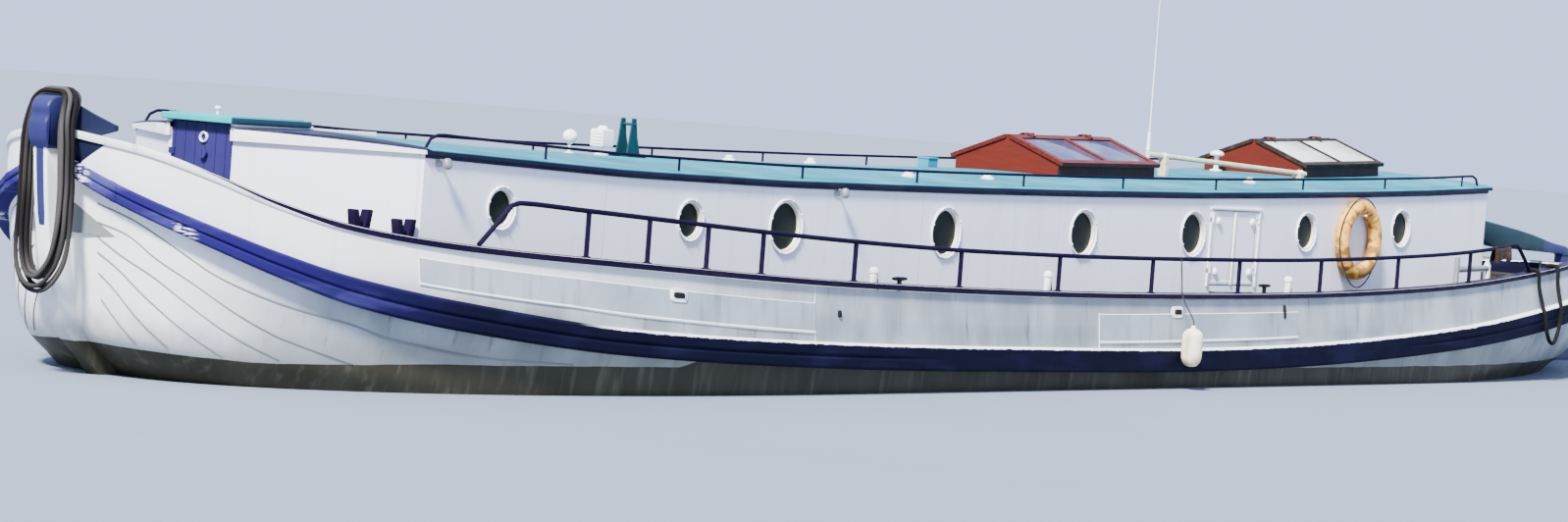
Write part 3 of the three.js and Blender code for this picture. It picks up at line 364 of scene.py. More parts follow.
# %% Ways round the side
FINE_T = np.linspace(0, 3, 3001)
FINE_WAY = np.concatenate([[0], np.cumsum(np.hypot(*(np.diff(c) for c in plan_at(WALE_PLAN, FINE_T))))])
SIDE_LENGTH = float(FINE_WAY[-1])


def way_at(t):
    """Metres round the side from the stem, at a place t."""
    return np.interp(t, FINE_T, FINE_WAY)


def t_at_way(way):
    """The place t at so many metres round the side."""
    return np.interp(way, FINE_WAY, FINE_T)


def t_of_cap(x):
    """The place t where the cap line stands at x."""
    return np.interp(-np.asarray(x, float), -plan_at(CAP_PLAN, FINE_T)[0], FINE_T)


def on_cap(x, inward, lift):
    """A point inward of the cap line at x, and above the cap."""
    t = t_of_cap(x)
    y = plan_at(CAP_PLAN, t, -np.asarray(inward, float))[1]
    return np.stack(np.broadcast_arrays(x, y, sheer(1, way_at(t)) + lift), -1)


print("the side is", round(SIDE_LENGTH, 2), "m round from stem to stern")

# %% [markdown]
# ## The plating as a function
#
# Between the level lines the plates bend smoothly. A cubic through the four nearest lines gives the skin at
# any level, so one function of the place along and the level up holds the whole outside of the boat.

# %% Skin
def level_lines(t):
    """The seven lines at places t, as [7, places, 3]: five low ones, then the lines of the wale and the cap."""
    way = way_at(t)
    from_stem, from_stern = np.exp(-way / CLIMB_BOW), np.exp(-(SIDE_LENGTH - way) / CLIMB_STERN)
    rows = [np.stack([*plan_at(level, t), level[5] + level[6] * from_stem + level[7] * from_stern], -1)
            for level in LEVELS]
    rows.append(np.stack([*plan_at(WALE_PLAN, t), sheer(2, way) - 0.060], -1))
    rows.append(np.stack([*plan_at(CAP_PLAN, t), sheer(1, way) - 0.005], -1))
    return np.stack(rows)


def skin(t, level):
    """The plating's points at places t and levels 0 to 6, one row of levels for all places or one for each."""
    lines = level_lines(t)
    lines = np.concatenate([2 * lines[:1] - lines[1:2], lines, 2 * lines[-1:] - lines[-2:-1]])
    level = np.broadcast_to(level, (len(t), np.shape(level)[-1]))
    k = np.clip(np.floor(level).astype(int), 0, 5)
    s = (level - k)[..., None]
    place = np.arange(len(t))[:, None]
    return between(*(lines[k + i, place] for i in range(4)), s)


def skin_out(t, level, out):
    """The skin moved outwards: along the cross product of its two slopes."""
    step = 1e-3
    level = np.broadcast_to(level, (len(t), np.shape(level)[-1]))
    ahead = skin(np.clip(t + step, 0, 3), level) - skin(np.clip(t - step, 0, 3), level)
    up = skin(t, level + step) - skin(t, level - step)
    normal = np.cross(up, ahead)
    normal /= np.linalg.norm(normal, axis=-1)[..., None] + 1e-12
    return skin(t, level) + normal * np.sign(normal[..., 1:2] + 1e-9) * np.asarray(out)[..., None]


def level_at(t, z):
    """The level at which the skin passes a height, found on a fine ladder of levels."""
    ladder = np.linspace(2, 6, 1601)
    heights = skin(t, ladder)[..., 2]
    return ladder[np.argmin(np.abs(heights - np.asarray(z)[:, None]), axis=1)]


print("the skin at mid length is", skin(np.array([1.5]), np.array([4.0]))[0, 0].round(3))

# %% [markdown]
# ## Finishes
#
# Old paint on steel is uneven: it fades in patches, dirt runs down it, and it chips at edges. Flat colours
# would look like plastic, so every finish mixes a few noises over the boat's own coordinates. A helper makes
# one node with its inputs, and small functions stand for the sums that the finishes share.

# %% Shader nodes
def node(tree, kind, inputs=(), output=0, **settings):
    """The output of a new shader node; each input is a value or the socket that feeds it."""
    made = tree.nodes.new("ShaderNode" + kind)
    for key, value in settings.items():
        setattr(made, key, value)
    for key, value in dict(inputs).items():
        if isinstance(value, bpy.types.NodeSocket):
            tree.links.new(value, made.inputs[key])
        else:
            made.inputs[key].default_value = value
    return made.outputs[output]


def noise(tree, at, scale, detail=3.0, stretch=(1, 1, 1)):
    at = node(tree, "Mapping", {"Vector": at, "Scale": stretch})
    return node(tree, "TexNoise", {"Vector": at, "Scale": scale, "Detail": detail})


def step(tree, value, low, high):
    """A share that climbs smoothly from 0 at low to 1 at high."""
    return node(tree, "MapRange", {"Value": value, "From Min": low, "From Max": high},
                interpolation_type="SMOOTHSTEP")


def maths(tree, operation, a, b=0.0, c=0.0):
    """A sum, a product or another operation on up to three numbers."""
    return node(tree, "Math", {0: a, 1: b, 2: c}, operation=operation)


def blend(tree, share, a, b):
    """Colour a where the share is 0, and b where it is 1."""
    a, b = ((*c, 1) if isinstance(c, tuple) else c for c in (a, b))
    return node(tree, "Mix", {0: share, 6: a, 7: b}, output=2, data_type="RGBA")


def boat_point(tree):
    """The boat's own coordinates, whole and as x, y and z."""
    at = node(tree, "TexCoord", output=3)
    parts = node(tree, "SeparateXYZ", {0: at}).node.outputs
    return at, *parts


def along(tree):
    """The two numbers of a piece's own map: the way along it, and the place across or round it."""
    place = node(tree, "UVMap", uv_map="along")
    parts = node(tree, "SeparateXYZ", {0: place}).node.outputs
    return parts[0], parts[1]


print("shader sums are ready:", ", ".join(f.__name__ for f in (noise, step, maths, blend)))

# %% Brushed and weathered paint
def finish(name, build, **uniform):
    """A material whose colour, roughness and height come from build(tree). Other values are the same all over."""
    material = bpy.data.materials.new(name)
    material.use_nodes = True
    tree = material.node_tree
    shader = tree.nodes["Principled BSDF"]
    shader.inputs["Specular IOR Level"].default_value = 0.12      # old paint, and dark trees all round
    for key, value in uniform.items():
        shader.inputs[key.replace("_", " ")].default_value = value
    colour, roughness, height, depth = build(tree)
    tree.links.new(colour, shader.inputs["Base Color"])
    tree.links.new(roughness, shader.inputs["Roughness"])
    bump = node(tree, "Bump", {"Height": height, "Distance": depth, "Strength": 1.0})
    tree.links.new(bump, shader.inputs["Normal"])
    return material


def worn(tree, colour, faded, dirt, at, wear=0.5, run=0.5):
    """A colour that fades in patches as wide as a hand, with dirt that runs down it."""
    patches = step(tree, noise(tree, at, 1.7, 5), 0.35, 0.75)
    runs = step(tree, noise(tree, at, 9.0, 4, (1, 1, 0.09)), 0.52, 0.80)
    specks = step(tree, noise(tree, at, 60.0, 2), 0.60, 0.75)
    painted = blend(tree, maths(tree, "MULTIPLY", patches, wear), colour, faded)
    painted = blend(tree, maths(tree, "MULTIPLY", runs, run), painted, dirt)
    return blend(tree, maths(tree, "MULTIPLY", specks, 0.25 * run), painted, dirt)


def paint(name, colour, faded, dirt, gloss=0.35, wear=0.5, run=0.4, lumps=0.0006, **uniform):
    """Brushed paint on steel or wood, glossier where it is whole."""
    def build(tree):
        at = boat_point(tree)[0]
        brushed = noise(tree, at, 24.0, 5, (1, 1, 0.4))
        dull = step(tree, noise(tree, at, 3.1, 4), 0.3, 0.8)
        roughness = maths(tree, "MULTIPLY_ADD", dull, 0.35, gloss)
        return worn(tree, colour, faded, dirt, at, wear, run), roughness, brushed, lumps
    return finish(name, build, **uniform)


TRIM_WHITE = paint("trim_white", (0.85, 0.84, 0.81), (0.74, 0.72, 0.66), (0.40, 0.36, 0.28), gloss=0.25)
BLUE = paint("blue_paint", (0.020, 0.022, 0.090), (0.034, 0.038, 0.130), (0.03, 0.03, 0.06), gloss=0.28)
RAIL = paint("rail_paint", (0.0055, 0.0028, 0.0165), (0.010, 0.006, 0.024), (0.018, 0.014, 0.022), gloss=0.55,
             Specular_IOR_Level=0.04)
TEAL = paint("teal_paint", (0.005, 0.036, 0.048), (0.010, 0.058, 0.068), (0.015, 0.03, 0.03), gloss=0.40)
CHARCOAL = paint("charcoal_paint", (0.013, 0.012, 0.014), (0.030, 0.028, 0.030), (0.055, 0.048, 0.040), gloss=0.5)
STEEL = paint("galvanised_steel", (0.36, 0.36, 0.37), (0.26, 0.26, 0.27), (0.12, 0.10, 0.08), Metallic=0.7)
BOTTOM = paint("bottom_paint", (0.028, 0.027, 0.018), (0.056, 0.052, 0.034), (0.08, 0.08, 0.06), gloss=0.6)
BRONZE = paint("bronze", (0.42, 0.22, 0.08), (0.20, 0.13, 0.06), (0.05, 0.12, 0.09), Metallic=1.0)
print("finishes so far:", len(bpy.data.materials))

# %% [markdown]
# ## Ropes
#
# Three ropes belong to the boat. A long one is wound in a hank over the stem head, a thin one holds the fender
# to the handrail, and a thick one hangs in a bight over the rail near the stern. Physics could hang them, but
# they lie where years of use have left them, so each follows a drawn line, and the hank winds about its own.

# %% Ropes
def rope_part(path, radius, sides=10):
    """A rope as (points, faces, map): the map runs along it in metres, and once round it."""
    section = ring_of(radius, sides)
    grid = carried(path, np.concatenate([section, section[:1]]))
    points, faces = sheet(grid)
    way = np.concatenate([[0], np.cumsum(np.linalg.norm(np.diff(path, axis=0), axis=1))])
    turn = np.linspace(0, 1, sides + 1)
    uv = np.stack(np.broadcast_arrays(way[:, None], turn[None, :]), -1).reshape(-1, 2)
    caps = []
    for row, middle in ((0, path[0]), (len(path) - 1, path[-1])):
        base = np.arange(sides) + row * (sides + 1)
        caps.append(np.stack([base, base + 1, np.full(sides, len(points) + len(caps))], -1))
    ends = np.stack([path[0], path[-1]])
    uv = np.concatenate([uv, [[way[0], 0.5], [way[-1], 0.5]]])
    return np.concatenate([points, ends]), [*faces, *caps], uv


def rope_finish(name, shades, pitch, turn_length):
    """Three strands wind round the rope: their height goes with the sine of the way and the turn. The colour
    changes from one length of rope to the next, and it is darker between the strands."""
    def build(tree):
        way, turn = along(tree)
        phase = maths(tree, "ADD", maths(tree, "MULTIPLY", way, 2 * math.pi / pitch),
                      maths(tree, "MULTIPLY", turn, 6 * math.pi))
        strand = maths(tree, "ABSOLUTE", maths(tree, "SINE", phase))
        length = node(tree, "CombineXYZ", {0: maths(tree, "DIVIDE", way, turn_length)})
        light = step(tree, noise(tree, length, 2.3, 1), 0.45, 0.58)
        fibres = noise(tree, boat_point(tree)[0], 130.0, 3)
        colour = blend(tree, light, shades[0], shades[1])
        colour = blend(tree, maths(tree, "MULTIPLY", fibres, 0.5), colour, shades[2])
        groove = step(tree, strand, 0.45, 0.0)
        return blend(tree, groove, colour, shades[3]), step(tree, fibres, -1.0, 0.6), strand, 0.003
    return finish(name, build)


DARK_ROPE = rope_finish("dark_rope", [(0.007, 0.006, 0.008), (0.085, 0.080, 0.075), (0.020, 0.014, 0.012),
                                      (0.004, 0.004, 0.004)], 0.045, 3.1)
GREY_ROPE = rope_finish("grey_rope", [(0.040, 0.038, 0.036), (0.075, 0.072, 0.066), (0.03, 0.03, 0.028),
                                      (0.01, 0.01, 0.01)], 0.018, 1.0)
MOORING_ROPE = rope_finish("mooring_rope", [(0.004, 0.004, 0.005), (0.009, 0.009, 0.009), (0.014, 0.014, 0.014),
                                            (0.002, 0.002, 0.003)], 0.055, 1.0)
print("ropes have", len((DARK_ROPE, GREY_ROPE, MOORING_ROPE)), "finishes")

# %% Hank over the stem head
HANK = np.array([
    (10.744, 0.003, 2.6184), (10.746, 0.060, 2.6184), (10.750, 0.0994, 2.6106), (10.758, 0.1328, 2.5882),
    (10.769, 0.1552, 2.5548), (10.782, 0.163, 2.5154), (10.814, 0.172, 2.425), (10.834, 0.182, 2.320),
    (10.834, 0.195, 2.120), (10.826, 0.200, 1.950), (10.828, 0.192, 1.720), (10.842, 0.160, 1.530),
    (10.856, 0.090, 1.415), (10.862, 0.020, 1.385), (10.862, -0.050, 1.415), (10.858, -0.105, 1.525),
    (10.852, -0.135, 1.700), (10.850, -0.142, 1.950), (10.850, -0.148, 2.150), (10.842, -0.155, 2.320),
    (10.820, -0.159, 2.425), (10.786, -0.161, 2.5154), (10.771, -0.1535, 2.5548), (10.759, -0.1315, 2.5882),
    (10.751, -0.099, 2.6106), (10.746, -0.060, 2.6184), (10.744, -0.003, 2.6184)])
HANK_TURNS = 7.88
HANK_ROPE = 0.015       # radius
AROUND = 0.043          # from the middle of the hank to the ropes round it


def hank_path(count):
    """The hank's rope: seven turns beside each other round the hank's middle, then most of one inside them.
    It stands off the middle by a circle that turns by a seventh each time round. The circle is stretched
    downwards where the turns hang lowest, and flattened where they lie over the stem head."""
    loop = curve_through(HANK, 520)
    turns = np.linspace(0, HANK_TURNS, count)
    place = turns % 1.0 * len(loop)
    closed = np.concatenate([loop[-2:], loop, loop[:3]])
    slope = np.gradient(closed, axis=0)
    middle, ahead = (np.stack([np.interp(place, np.arange(len(closed)) - 2, c) for c in line.T], -1)
                     for line in (closed, slope))
    inward = np.cross(ahead, [1.0, 0, 0])
    inward /= np.linalg.norm(inward, axis=1)[:, None]
    across = np.cross(ahead / np.linalg.norm(ahead, axis=1)[:, None], inward)
    s = np.clip((1.900 - middle[:, 2]) / 0.450, 0, 1)
    spread = 1 + 1.05 * s * s * (3 - 2 * s)
    s = np.clip((middle[:, 2] - 2.22) / 0.36, 0, 1)
    flat = s * s * (3 - 2 * s)
    off = AROUND * (1 - np.clip((turns - 6.5) / 0.45, 0, 1) ** 2)
    angle = 2 * np.pi * turns / 7
    away = off * np.cos(angle) * (1 - 0.5 * flat)
    away = np.where(away < 0, away * spread, away * (1.25 - 0.25 * spread)) + 0.5 * AROUND * flat
    return middle + away[:, None] * inward + (off * np.sin(angle) * (1 + 0.4 * flat))[:, None] * across


hank_line = hank_path(1500)
hank = piece("hank", [rope_part(hank_line, HANK_ROPE)], DARK_ROPE, sharp=60)
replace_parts(hank, "bow_hank")

# %% Fender rope
FENDER_LINE = [(-0.180, 1.947, 1.830), (-0.178, 1.956, 1.770), (-0.172, 1.976, 1.640), (-0.166, 1.986, 1.560),
               (-0.160, 2.010, 1.500), (-0.152, 2.090, 1.390), (-0.150, 2.131, 1.325), (-0.150, 2.1333, 1.2907)]
fender_line = curve_through(FENDER_LINE, 60)
fender_rope = piece("fender_line", [rope_part(fender_line, 0.006)], GREY_ROPE, sharp=60)
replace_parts(fender_rope, "fender_rope")
print("the fender hangs on", round(length_of(fender_line), 2), "m of line")

# %% Stern bight
# place along the boat, distance out from the cap line, height, and whether it counts from the cap's top
BIGHT = [
    (-6.795, -0.096, -0.0837, 1), (-6.795, -0.097, -0.050, 1), (-6.795, -0.094, -0.018, 1),
    (-6.796, -0.074, 0.012, 1), (-6.798, -0.030, 0.019, 1), (-6.802, 0.020, 0.018, 1), (-6.806, 0.048, 0.004, 1),
    (-6.810, 0.060, -0.035, 1), (-6.822, 0.072, -0.160, 1), (-6.845, 0.118, 1.460, 0), (-6.860, 0.140, 1.390, 0),
    (-6.930, 0.144, 1.230, 0), (-7.040, 0.144, 1.130, 0), (-7.160, 0.144, 1.135, 0), (-7.260, 0.144, 1.270, 0),
    (-7.300, 0.142, 1.430, 0), (-7.312, 0.118, 1.510, 0), (-7.325, 0.072, -0.160, 1), (-7.335, 0.060, -0.035, 1),
    (-7.339, 0.048, 0.004, 1), (-7.343, 0.020, 0.018, 1), (-7.348, -0.030, 0.019, 1), (-7.351, -0.074, 0.012, 1),
    (-7.352, -0.094, -0.018, 1), (-7.352, -0.097, -0.050, 1), (-7.352, -0.096, -0.0837, 1)]
BIGHT_RADIUS = 0.019


def bight_points():
    """The bight's points: those that lie on the cap take its height."""
    x, out, z, from_cap = np.array(BIGHT).T
    points = on_cap(x, -out, 0.0)
    points[:, 0] = x
    points[:, 2] = np.where(from_cap == 1, points[:, 2] + z, z)
    return points


bight_line = curve_through(bight_points(), 170)
bight = piece("bight", [rope_part(bight_line, BIGHT_RADIUS, 12)], MOORING_ROPE, sharp=60)
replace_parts(bight, "stern_bight")
print("the bight starts at", bight_line[0].round(3))

# %% [markdown]
# ## Plating
#
# The hull is riveted and welded plate, painted white down to the boot top. It is one closed surface here: up
# the outside, over the top edge, down inside the bulwark and across the deck. Plates that old are never
# fair, so the skin is pushed in and out by a few millimetres in long, low waves, and once by a dent.

# %% Deck and waves in the plates
DECK = np.array([
    (-11.200, 1.520), (-10.000, 1.500), (-8.500, 1.440), (-6.900, 1.350), (-5.500, 1.250), (-4.000, 1.160),
    (-2.000, 1.095), (0.000, 1.078), (2.500, 1.095), (5.000, 1.140), (7.000, 1.215), (8.200, 1.330),
    (9.000, 1.440), (9.600, 1.560), (10.200, 1.650), (11.200, 1.740)])
NOTCH_HALF, NOTCH_LOW = 0.640, 1.800       # the bulwark is cut down here, under the tiller
PLATE, UNDER_CAP = 0.034, 0.053            # the bulwark's thickness, and how far it ends below the cap's top


def deck_at(x):
    """The deck's height, straight between the rows of the table."""
    return np.interp(x, *DECK.T)


def unevenness(way, level):
    """Low waves in the plating, stronger low down and forward, and a dent as wide as two hands."""
    waves = (np.sin(2.1 * way + 1.3 * level) * np.sin(1.7 * level + 0.4) + 0.6 * np.sin(5.3 * way + 2.0 * level + 1)
             + 0.4 * np.sin(8.9 * way - 3.1 * level))
    dent = np.exp(-((way - 2.62) / 0.22) ** 2 - ((level - 3.95) / 0.42) ** 2)
    fade = np.clip(way / 0.5, 0, 1) * np.clip((level - 1) / 1.0, 0, 1) * np.clip((6.2 - level) / 1.0, 0, 1)
    return fade * (0.0016 * waves - 0.016 * dent)


print("the deck amidships is", float(deck_at(0.0)), "m above the flat bottom")

# %% Outside of the shell
notch_t = float(np.interp(-NOTCH_HALF, -plan_at(CAP_PLAN, FINE_T[2000:])[1], FINE_T[2000:]))
ways = np.concatenate([np.arange(0, 4.0, 0.045), np.arange(4.0, 16.5, 0.09),
                       np.arange(16.5, SIDE_LENGTH, 0.05), [SIDE_LENGTH]])
hull_t = np.sort(np.concatenate([t_at_way(ways), [notch_t - 1e-5, notch_t + 1e-5]]))
hull_way = way_at(hull_t)
cap_z, wale_z = sheer(1, hull_way), sheer(2, hull_way)
top_level = 6 - (UNDER_CAP - 0.005) / (cap_z - wale_z + 0.055)
in_notch = hull_t > notch_t
top_level[in_notch] = level_at(hull_t[in_notch], np.full(in_notch.sum(), NOTCH_LOW))
levels = np.linspace(0, 1, 61) * top_level[:, None]
outer = skin_out(hull_t, levels, unevenness(hull_way[:, None], levels))
print("outside:", outer.shape[:2], "points")

# %% Inside of the bulwark, deck and keel
high_x, high_y = plan_at(CAP_PLAN, hull_t, -PLATE)
low_x, low_y = plan_at((WALE_PLAN[0] - 0.025, *WALE_PLAN[1:]), hull_t, -PLATE)
top_z = outer[:, -1, 2]
inner_z = top_z[:, None] + np.linspace(0, 1, 7) * (deck_at(low_x) - top_z)[:, None]
share = np.clip((inner_z - (wale_z - 0.060)[:, None]) / (cap_z - wale_z + 0.110)[:, None], 0, 1)
inner = np.stack([low_x[:, None] + share * (high_x - low_x)[:, None],
                  low_y[:, None] + share * (high_y - low_y)[:, None], inner_z], -1)
on_centre = np.array([1, 0, 1])
across_deck = np.array([0.75, 0.5, 0.25, 0])[:, None]
deck = inner[:, -1:] * on_centre + inner[:, -1:] * np.array([0, 1, 0]) * across_deck
keel = outer[:, :1] * on_centre
shell = np.concatenate([keel, outer, inner, deck], 1)
shell_map = np.concatenate([levels[:, :1], levels, np.broadcast_to(np.linspace(7, 8, 11), (len(hull_t), 11))], 1)
shell_map = np.stack(np.broadcast_arrays(hull_way[:, None], shell_map), -1)
# the two sides meet on the centreline at each end
shell = np.concatenate([shell[:1] * on_centre, shell, shell[-1:] * on_centre])
shell_map = np.concatenate([shell_map[:1], shell_map, shell_map[-1:]])
half_shell = (*sheet(shell), shell_map)


def lug(x):
    """A lug inside the bulwark under the cap, for a mooring line."""
    y, top = on_cap(x, PLATE / 2, -0.084)[1:]
    return box((x - 0.026, x + 0.026), (y + PLATE / 2 - 0.120, y), (top - 0.022, top))


print("half the shell is", shell.shape[:2], "points")

# %% Hull paint
BOOT_LINE = [(0.0, 0.975), (0.7, 0.946), (1.2, 0.920), (1.74, 0.930), (2.6, 0.955), (5.0, 0.957), (5.3, 1.030),
             (6.5, 0.970), (9.0, 0.905), (22.9, 0.913)]
above_boot = shell[..., 2] - np.interp(shell_map[..., 0], *zip(*BOOT_LINE))
shell_map[..., 1] = np.where(shell_map[..., 1] < 6.5, above_boot, 5)


def hull_paint(tree):
    """White down to the boot top, which stands where the map's second number is 0; a ragged band of weed and
    grime above it, dark paint below, navy in the top corner by the stem head, and grey non-slip paint where
    that number is large, on the deck. Aft of the bow and low down the white turns a streaky bluish grey:
    partly dirt, and partly painted shade where the side turns away from the sun."""
    at = boat_point(tree)[0]
    way, above = along(tree)
    z = boat_point(tree)[3]
    fresh = worn(tree, (0.80, 0.80, 0.79), (0.70, 0.70, 0.70), (0.34, 0.33, 0.30), at, 0.8, 0.35)
    streaks = step(tree, noise(tree, at, 2.6, 6, (1, 1, 0.42)), 0.36, 0.68)
    # the bluish grey is dirt and painted shade together: the side aft of the bow is out of the sun
    dull = blend(tree, streaks, (0.205, 0.235, 0.250), (0.335, 0.370, 0.390))
    dull = blend(tree, step(tree, noise(tree, at, 15.0, 4, (1, 1, 0.10)), 0.58, 0.80), dull, (0.11, 0.12, 0.12))
    low_down = maths(tree, "MULTIPLY", step(tree, way, 0.55, 2.1), step(tree, above, 0.75, 0.30))
    dirt_and_shade = maths(tree, "MAXIMUM", low_down, maths(tree, "MULTIPLY", step(tree, way, 1.8, 7.5), 0.92))
    white = blend(tree, dirt_and_shade, fresh, dull)
    rust = maths(tree, "MULTIPLY", step(tree, noise(tree, at, 7.0, 3, (1, 1, 0.07)), 0.60, 0.78),
                 step(tree, noise(tree, at, 0.9, 2), 0.52, 0.62))
    white = blend(tree, maths(tree, "MULTIPLY", rust, 0.45), white, (0.34, 0.21, 0.09))
    ragged = maths(tree, "ADD", above, maths(tree, "MULTIPLY", noise(tree, at, 5.0, 4), -0.30))
    white = blend(tree, maths(tree, "MULTIPLY", step(tree, ragged, 0.16, -0.14), 0.55), white, (0.20, 0.20, 0.17))
    low = blend(tree, noise(tree, at, 2.2, 5, (1, 1, 0.6)), (0.016, 0.015, 0.009), (0.060, 0.055, 0.035))
    low = blend(tree, step(tree, noise(tree, at, 11.0, 3, (1, 1, 0.10)), 0.5, 0.8), low, (0.085, 0.078, 0.052))
    wavy = maths(tree, "ADD", above, maths(tree, "MULTIPLY_ADD", noise(tree, at, 3.0, 2), 0.02, -0.01))
    colour = blend(tree, step(tree, wavy, 0.003, -0.003), white, low)
    corner = maths(tree, "SUBTRACT", z, maths(tree, "MULTIPLY_ADD", way, 0.62, 2.065))
    corner = maths(tree, "MULTIPLY", step(tree, corner, -0.004, 0.004), step(tree, way, 0.60, 0.55))
    colour = blend(tree, corner, colour, (0.006, 0.008, 0.026))
    colour = blend(tree, step(tree, above, 2.0, 3.0), colour,
                   blend(tree, noise(tree, at, 3.0, 5), (0.11, 0.125, 0.13), (0.19, 0.205, 0.21)))
    rough = maths(tree, "MULTIPLY_ADD", step(tree, noise(tree, at, 2.3, 4), 0.3, 0.8), 0.3, 0.38)
    return colour, rough, noise(tree, at, 14.0, 5, (1, 1, 0.5)), 0.0012


HULL_PAINT = finish("hull_paint", hull_paint)
print("the boot line is", BOOT_LINE[0][1], "m high at the stem")

# %% Hull, bulwarks and deck
nodes_of_hull = ["hull_bow", "hull_middle", "hull_stern"]
nodes_of_hull += [f"bulwark_{part}_{side}" for part in ("bow", "middle", "stern") for side in ("port", "starboard")]
LUGS = (-6.795, -7.352)      # where the bight is made fast
lug_parts = [part for x in LUGS for part in (lug(x), mirrored(lug(x)))]
plating = piece("plating", [half_shell, mirrored(half_shell), *lug_parts], HULL_PAINT, sharp=32)
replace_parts(plating, *nodes_of_hull)
print("plating:", len(plating.data.polygons), "faces")

# %% [markdown]
# ## Wale and cap rail
#
# The wale is a heavy half-round bar, doubled at the ends of the boat where it takes the knocks. Its section is
# a rounded block less a groove, and the groove fades out amidships. The cap rail is a flat bar on the
# bulwark's edge. Both are sections whose corners move along their own level line.

# %% Wale
WALE_PROUD, WALE_ROOT = 0.062, -0.050


def groove_at(way):
    """How deep the groove is, as a share of the wale: whole at both ends, none amidships."""
    return 0.20 * np.clip(np.maximum((8.1 - way) / 0.9, (way - 15.4) / 0.9), 0, 1)


def wale_part(t, proud=WALE_PROUD, low=0.0, high=1.0):
    """The wale's rings: outwards by a block's round edges less the groove, downwards by the share of depth."""
    way = way_at(t)
    s = np.linspace(low, high, 27)
    edge = np.clip((np.abs(2 * s - 1) - 0.78) / 0.22, 0, 1)
    round_off = 0.40 + 0.60 * np.sqrt(1 - edge**2 * 0.999)
    groove = groove_at(way)[:, None] * np.exp(-((s - 0.51) / 0.050) ** 2)
    out = np.concatenate([np.full((len(t), 1), WALE_ROOT), proud * (round_off - groove),
                          np.full((len(t), 1), WALE_ROOT)], 1)
    s = np.concatenate([[low], s, [high]])
    x, y = plan_at(WALE_PLAN, t[:, None], out)
    z = sheer(2, way)[:, None] - sheer(3, way)[:, None] * s
    place = np.stack(np.broadcast_arrays(way[:, None], s), -1)
    middles = np.array([[way[0], 0.5], [way[-1], 0.5]])
    return (*closed_tube(np.stack([x, y, z], -1)), np.concatenate([place.reshape(-1, 2), middles]))


def wale_paint(tree):
    """Blue forward, where the sun falls on the bow, and a dark navy aft that is painted shade; bare metal
    where the anchor and the quay rub it; white along the top edge aft, partly paint and partly a painted highlight.
    """
    at = boat_point(tree)[0]
    way, depth = along(tree)
    # the change from blue to dark navy aft is painted shade along the side that the sun only grazes
    aft = step(tree, way, 1.0, 3.2)
    colour = blend(tree, aft, (0.015, 0.009, 0.083), (0.0032, 0.0032, 0.0130))
    pale = maths(tree, "MULTIPLY", step(tree, noise(tree, at, 5.0, 4, (0.3, 0.3, 1.4)), 0.46, 0.72),
                 maths(tree, "MULTIPLY_ADD", aft, -0.82, 0.90))
    colour = blend(tree, pale, colour, (0.048, 0.046, 0.170))
    scratches = step(tree, noise(tree, at, 48.0, 4, (0.35, 0.35, 1.5)), 0.50, 0.56)
    by_stem = step(tree, way, 0.24, 0.12)
    by_quay = step(tree, maths(tree, "ABSOLUTE", maths(tree, "SUBTRACT", way, 0.87)), 0.10, 0.02)
    by_quay = maths(tree, "MULTIPLY", by_quay, step(tree, depth, 0.42, 0.60))
    bare = maths(tree, "MULTIPLY", scratches, maths(tree, "ADD", by_stem, by_quay))
    colour = blend(tree, bare, colour, (0.66, 0.66, 0.68))
    # the white top edge is partly paint and partly a painted highlight where the sun catches the wale's top
    edge = maths(tree, "ADD", depth, maths(tree, "MULTIPLY", noise(tree, at, 16.0, 3), -0.10))
    white_and_highlit_ledge = maths(tree, "MULTIPLY", step(tree, edge, 0.040, 0.020), step(tree, way, 3.9, 4.4))
    colour = blend(tree, white_and_highlit_ledge, colour, (0.70, 0.72, 0.74))
    rough = maths(tree, "MULTIPLY_ADD", noise(tree, at, 6.0, 4), 0.3, 0.50)
    return colour, rough, noise(tree, at, 19.0, 4), 0.0010


WALE_PAINT = finish("wale_paint", wale_paint, Specular_IOR_Level=0.04)
wale = wale_part(hull_t)
collar = wale_part(t_at_way(np.array([0.36, 0.365, 0.395, 0.40])), WALE_PROUD + 0.004, -0.02, 1.02)
for side, turn in SIDES.items():
    strake = piece(f"rubbing_strake_{side}", [turn(wale), turn(collar)], WALE_PAINT, sharp=40)
    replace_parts(strake, f"wale_{side}")
print("the wale stands", WALE_PROUD, "m off the plates")

# %% Cap rail
CAP_CORNERS = [(0.032, -0.008), (0.032, -0.042), (0.024, -0.050), (-0.065, -0.050), (-0.073, -0.042),
               (-0.073, -0.008), (-0.065, 0.0), (0.024, 0.0)]


def cap_paint(tree):
    """White round the bow and along the lower edge of its outer face, and a purplish navy from there aft, faded in
    patches.
    """
    at = boat_point(tree)[0]
    way, place = along(tree)
    navy = worn(tree, (0.0060, 0.0028, 0.0165), (0.011, 0.006, 0.025), (0.03, 0.024, 0.03), at, 0.6, 0.3)
    white = worn(tree, (0.72, 0.72, 0.72), (0.46, 0.47, 0.48), (0.16, 0.15, 0.15), at, 0.7, 0.8)
    share = step(tree, maths(tree, "ADD", way, maths(tree, "MULTIPLY", noise(tree, at, 2.0), 0.3)), 1.0, 1.2)
    depth = maths(tree, "MINIMUM", maths(tree, "MULTIPLY_ADD", way, 0.130, -0.110), 0.250)
    beneath = maths(tree, "MULTIPLY", maths(tree, "GREATER_THAN", place, depth), step(tree, place, 0.46, 0.42))
    share = maths(tree, "MULTIPLY", share, maths(tree, "SUBTRACT", 1.0, beneath))
    rough = step(tree, noise(tree, at, 5.0), -0.4, 1.6)
    return blend(tree, share, white, navy), rough, noise(tree, at, 40.0), 0.0006


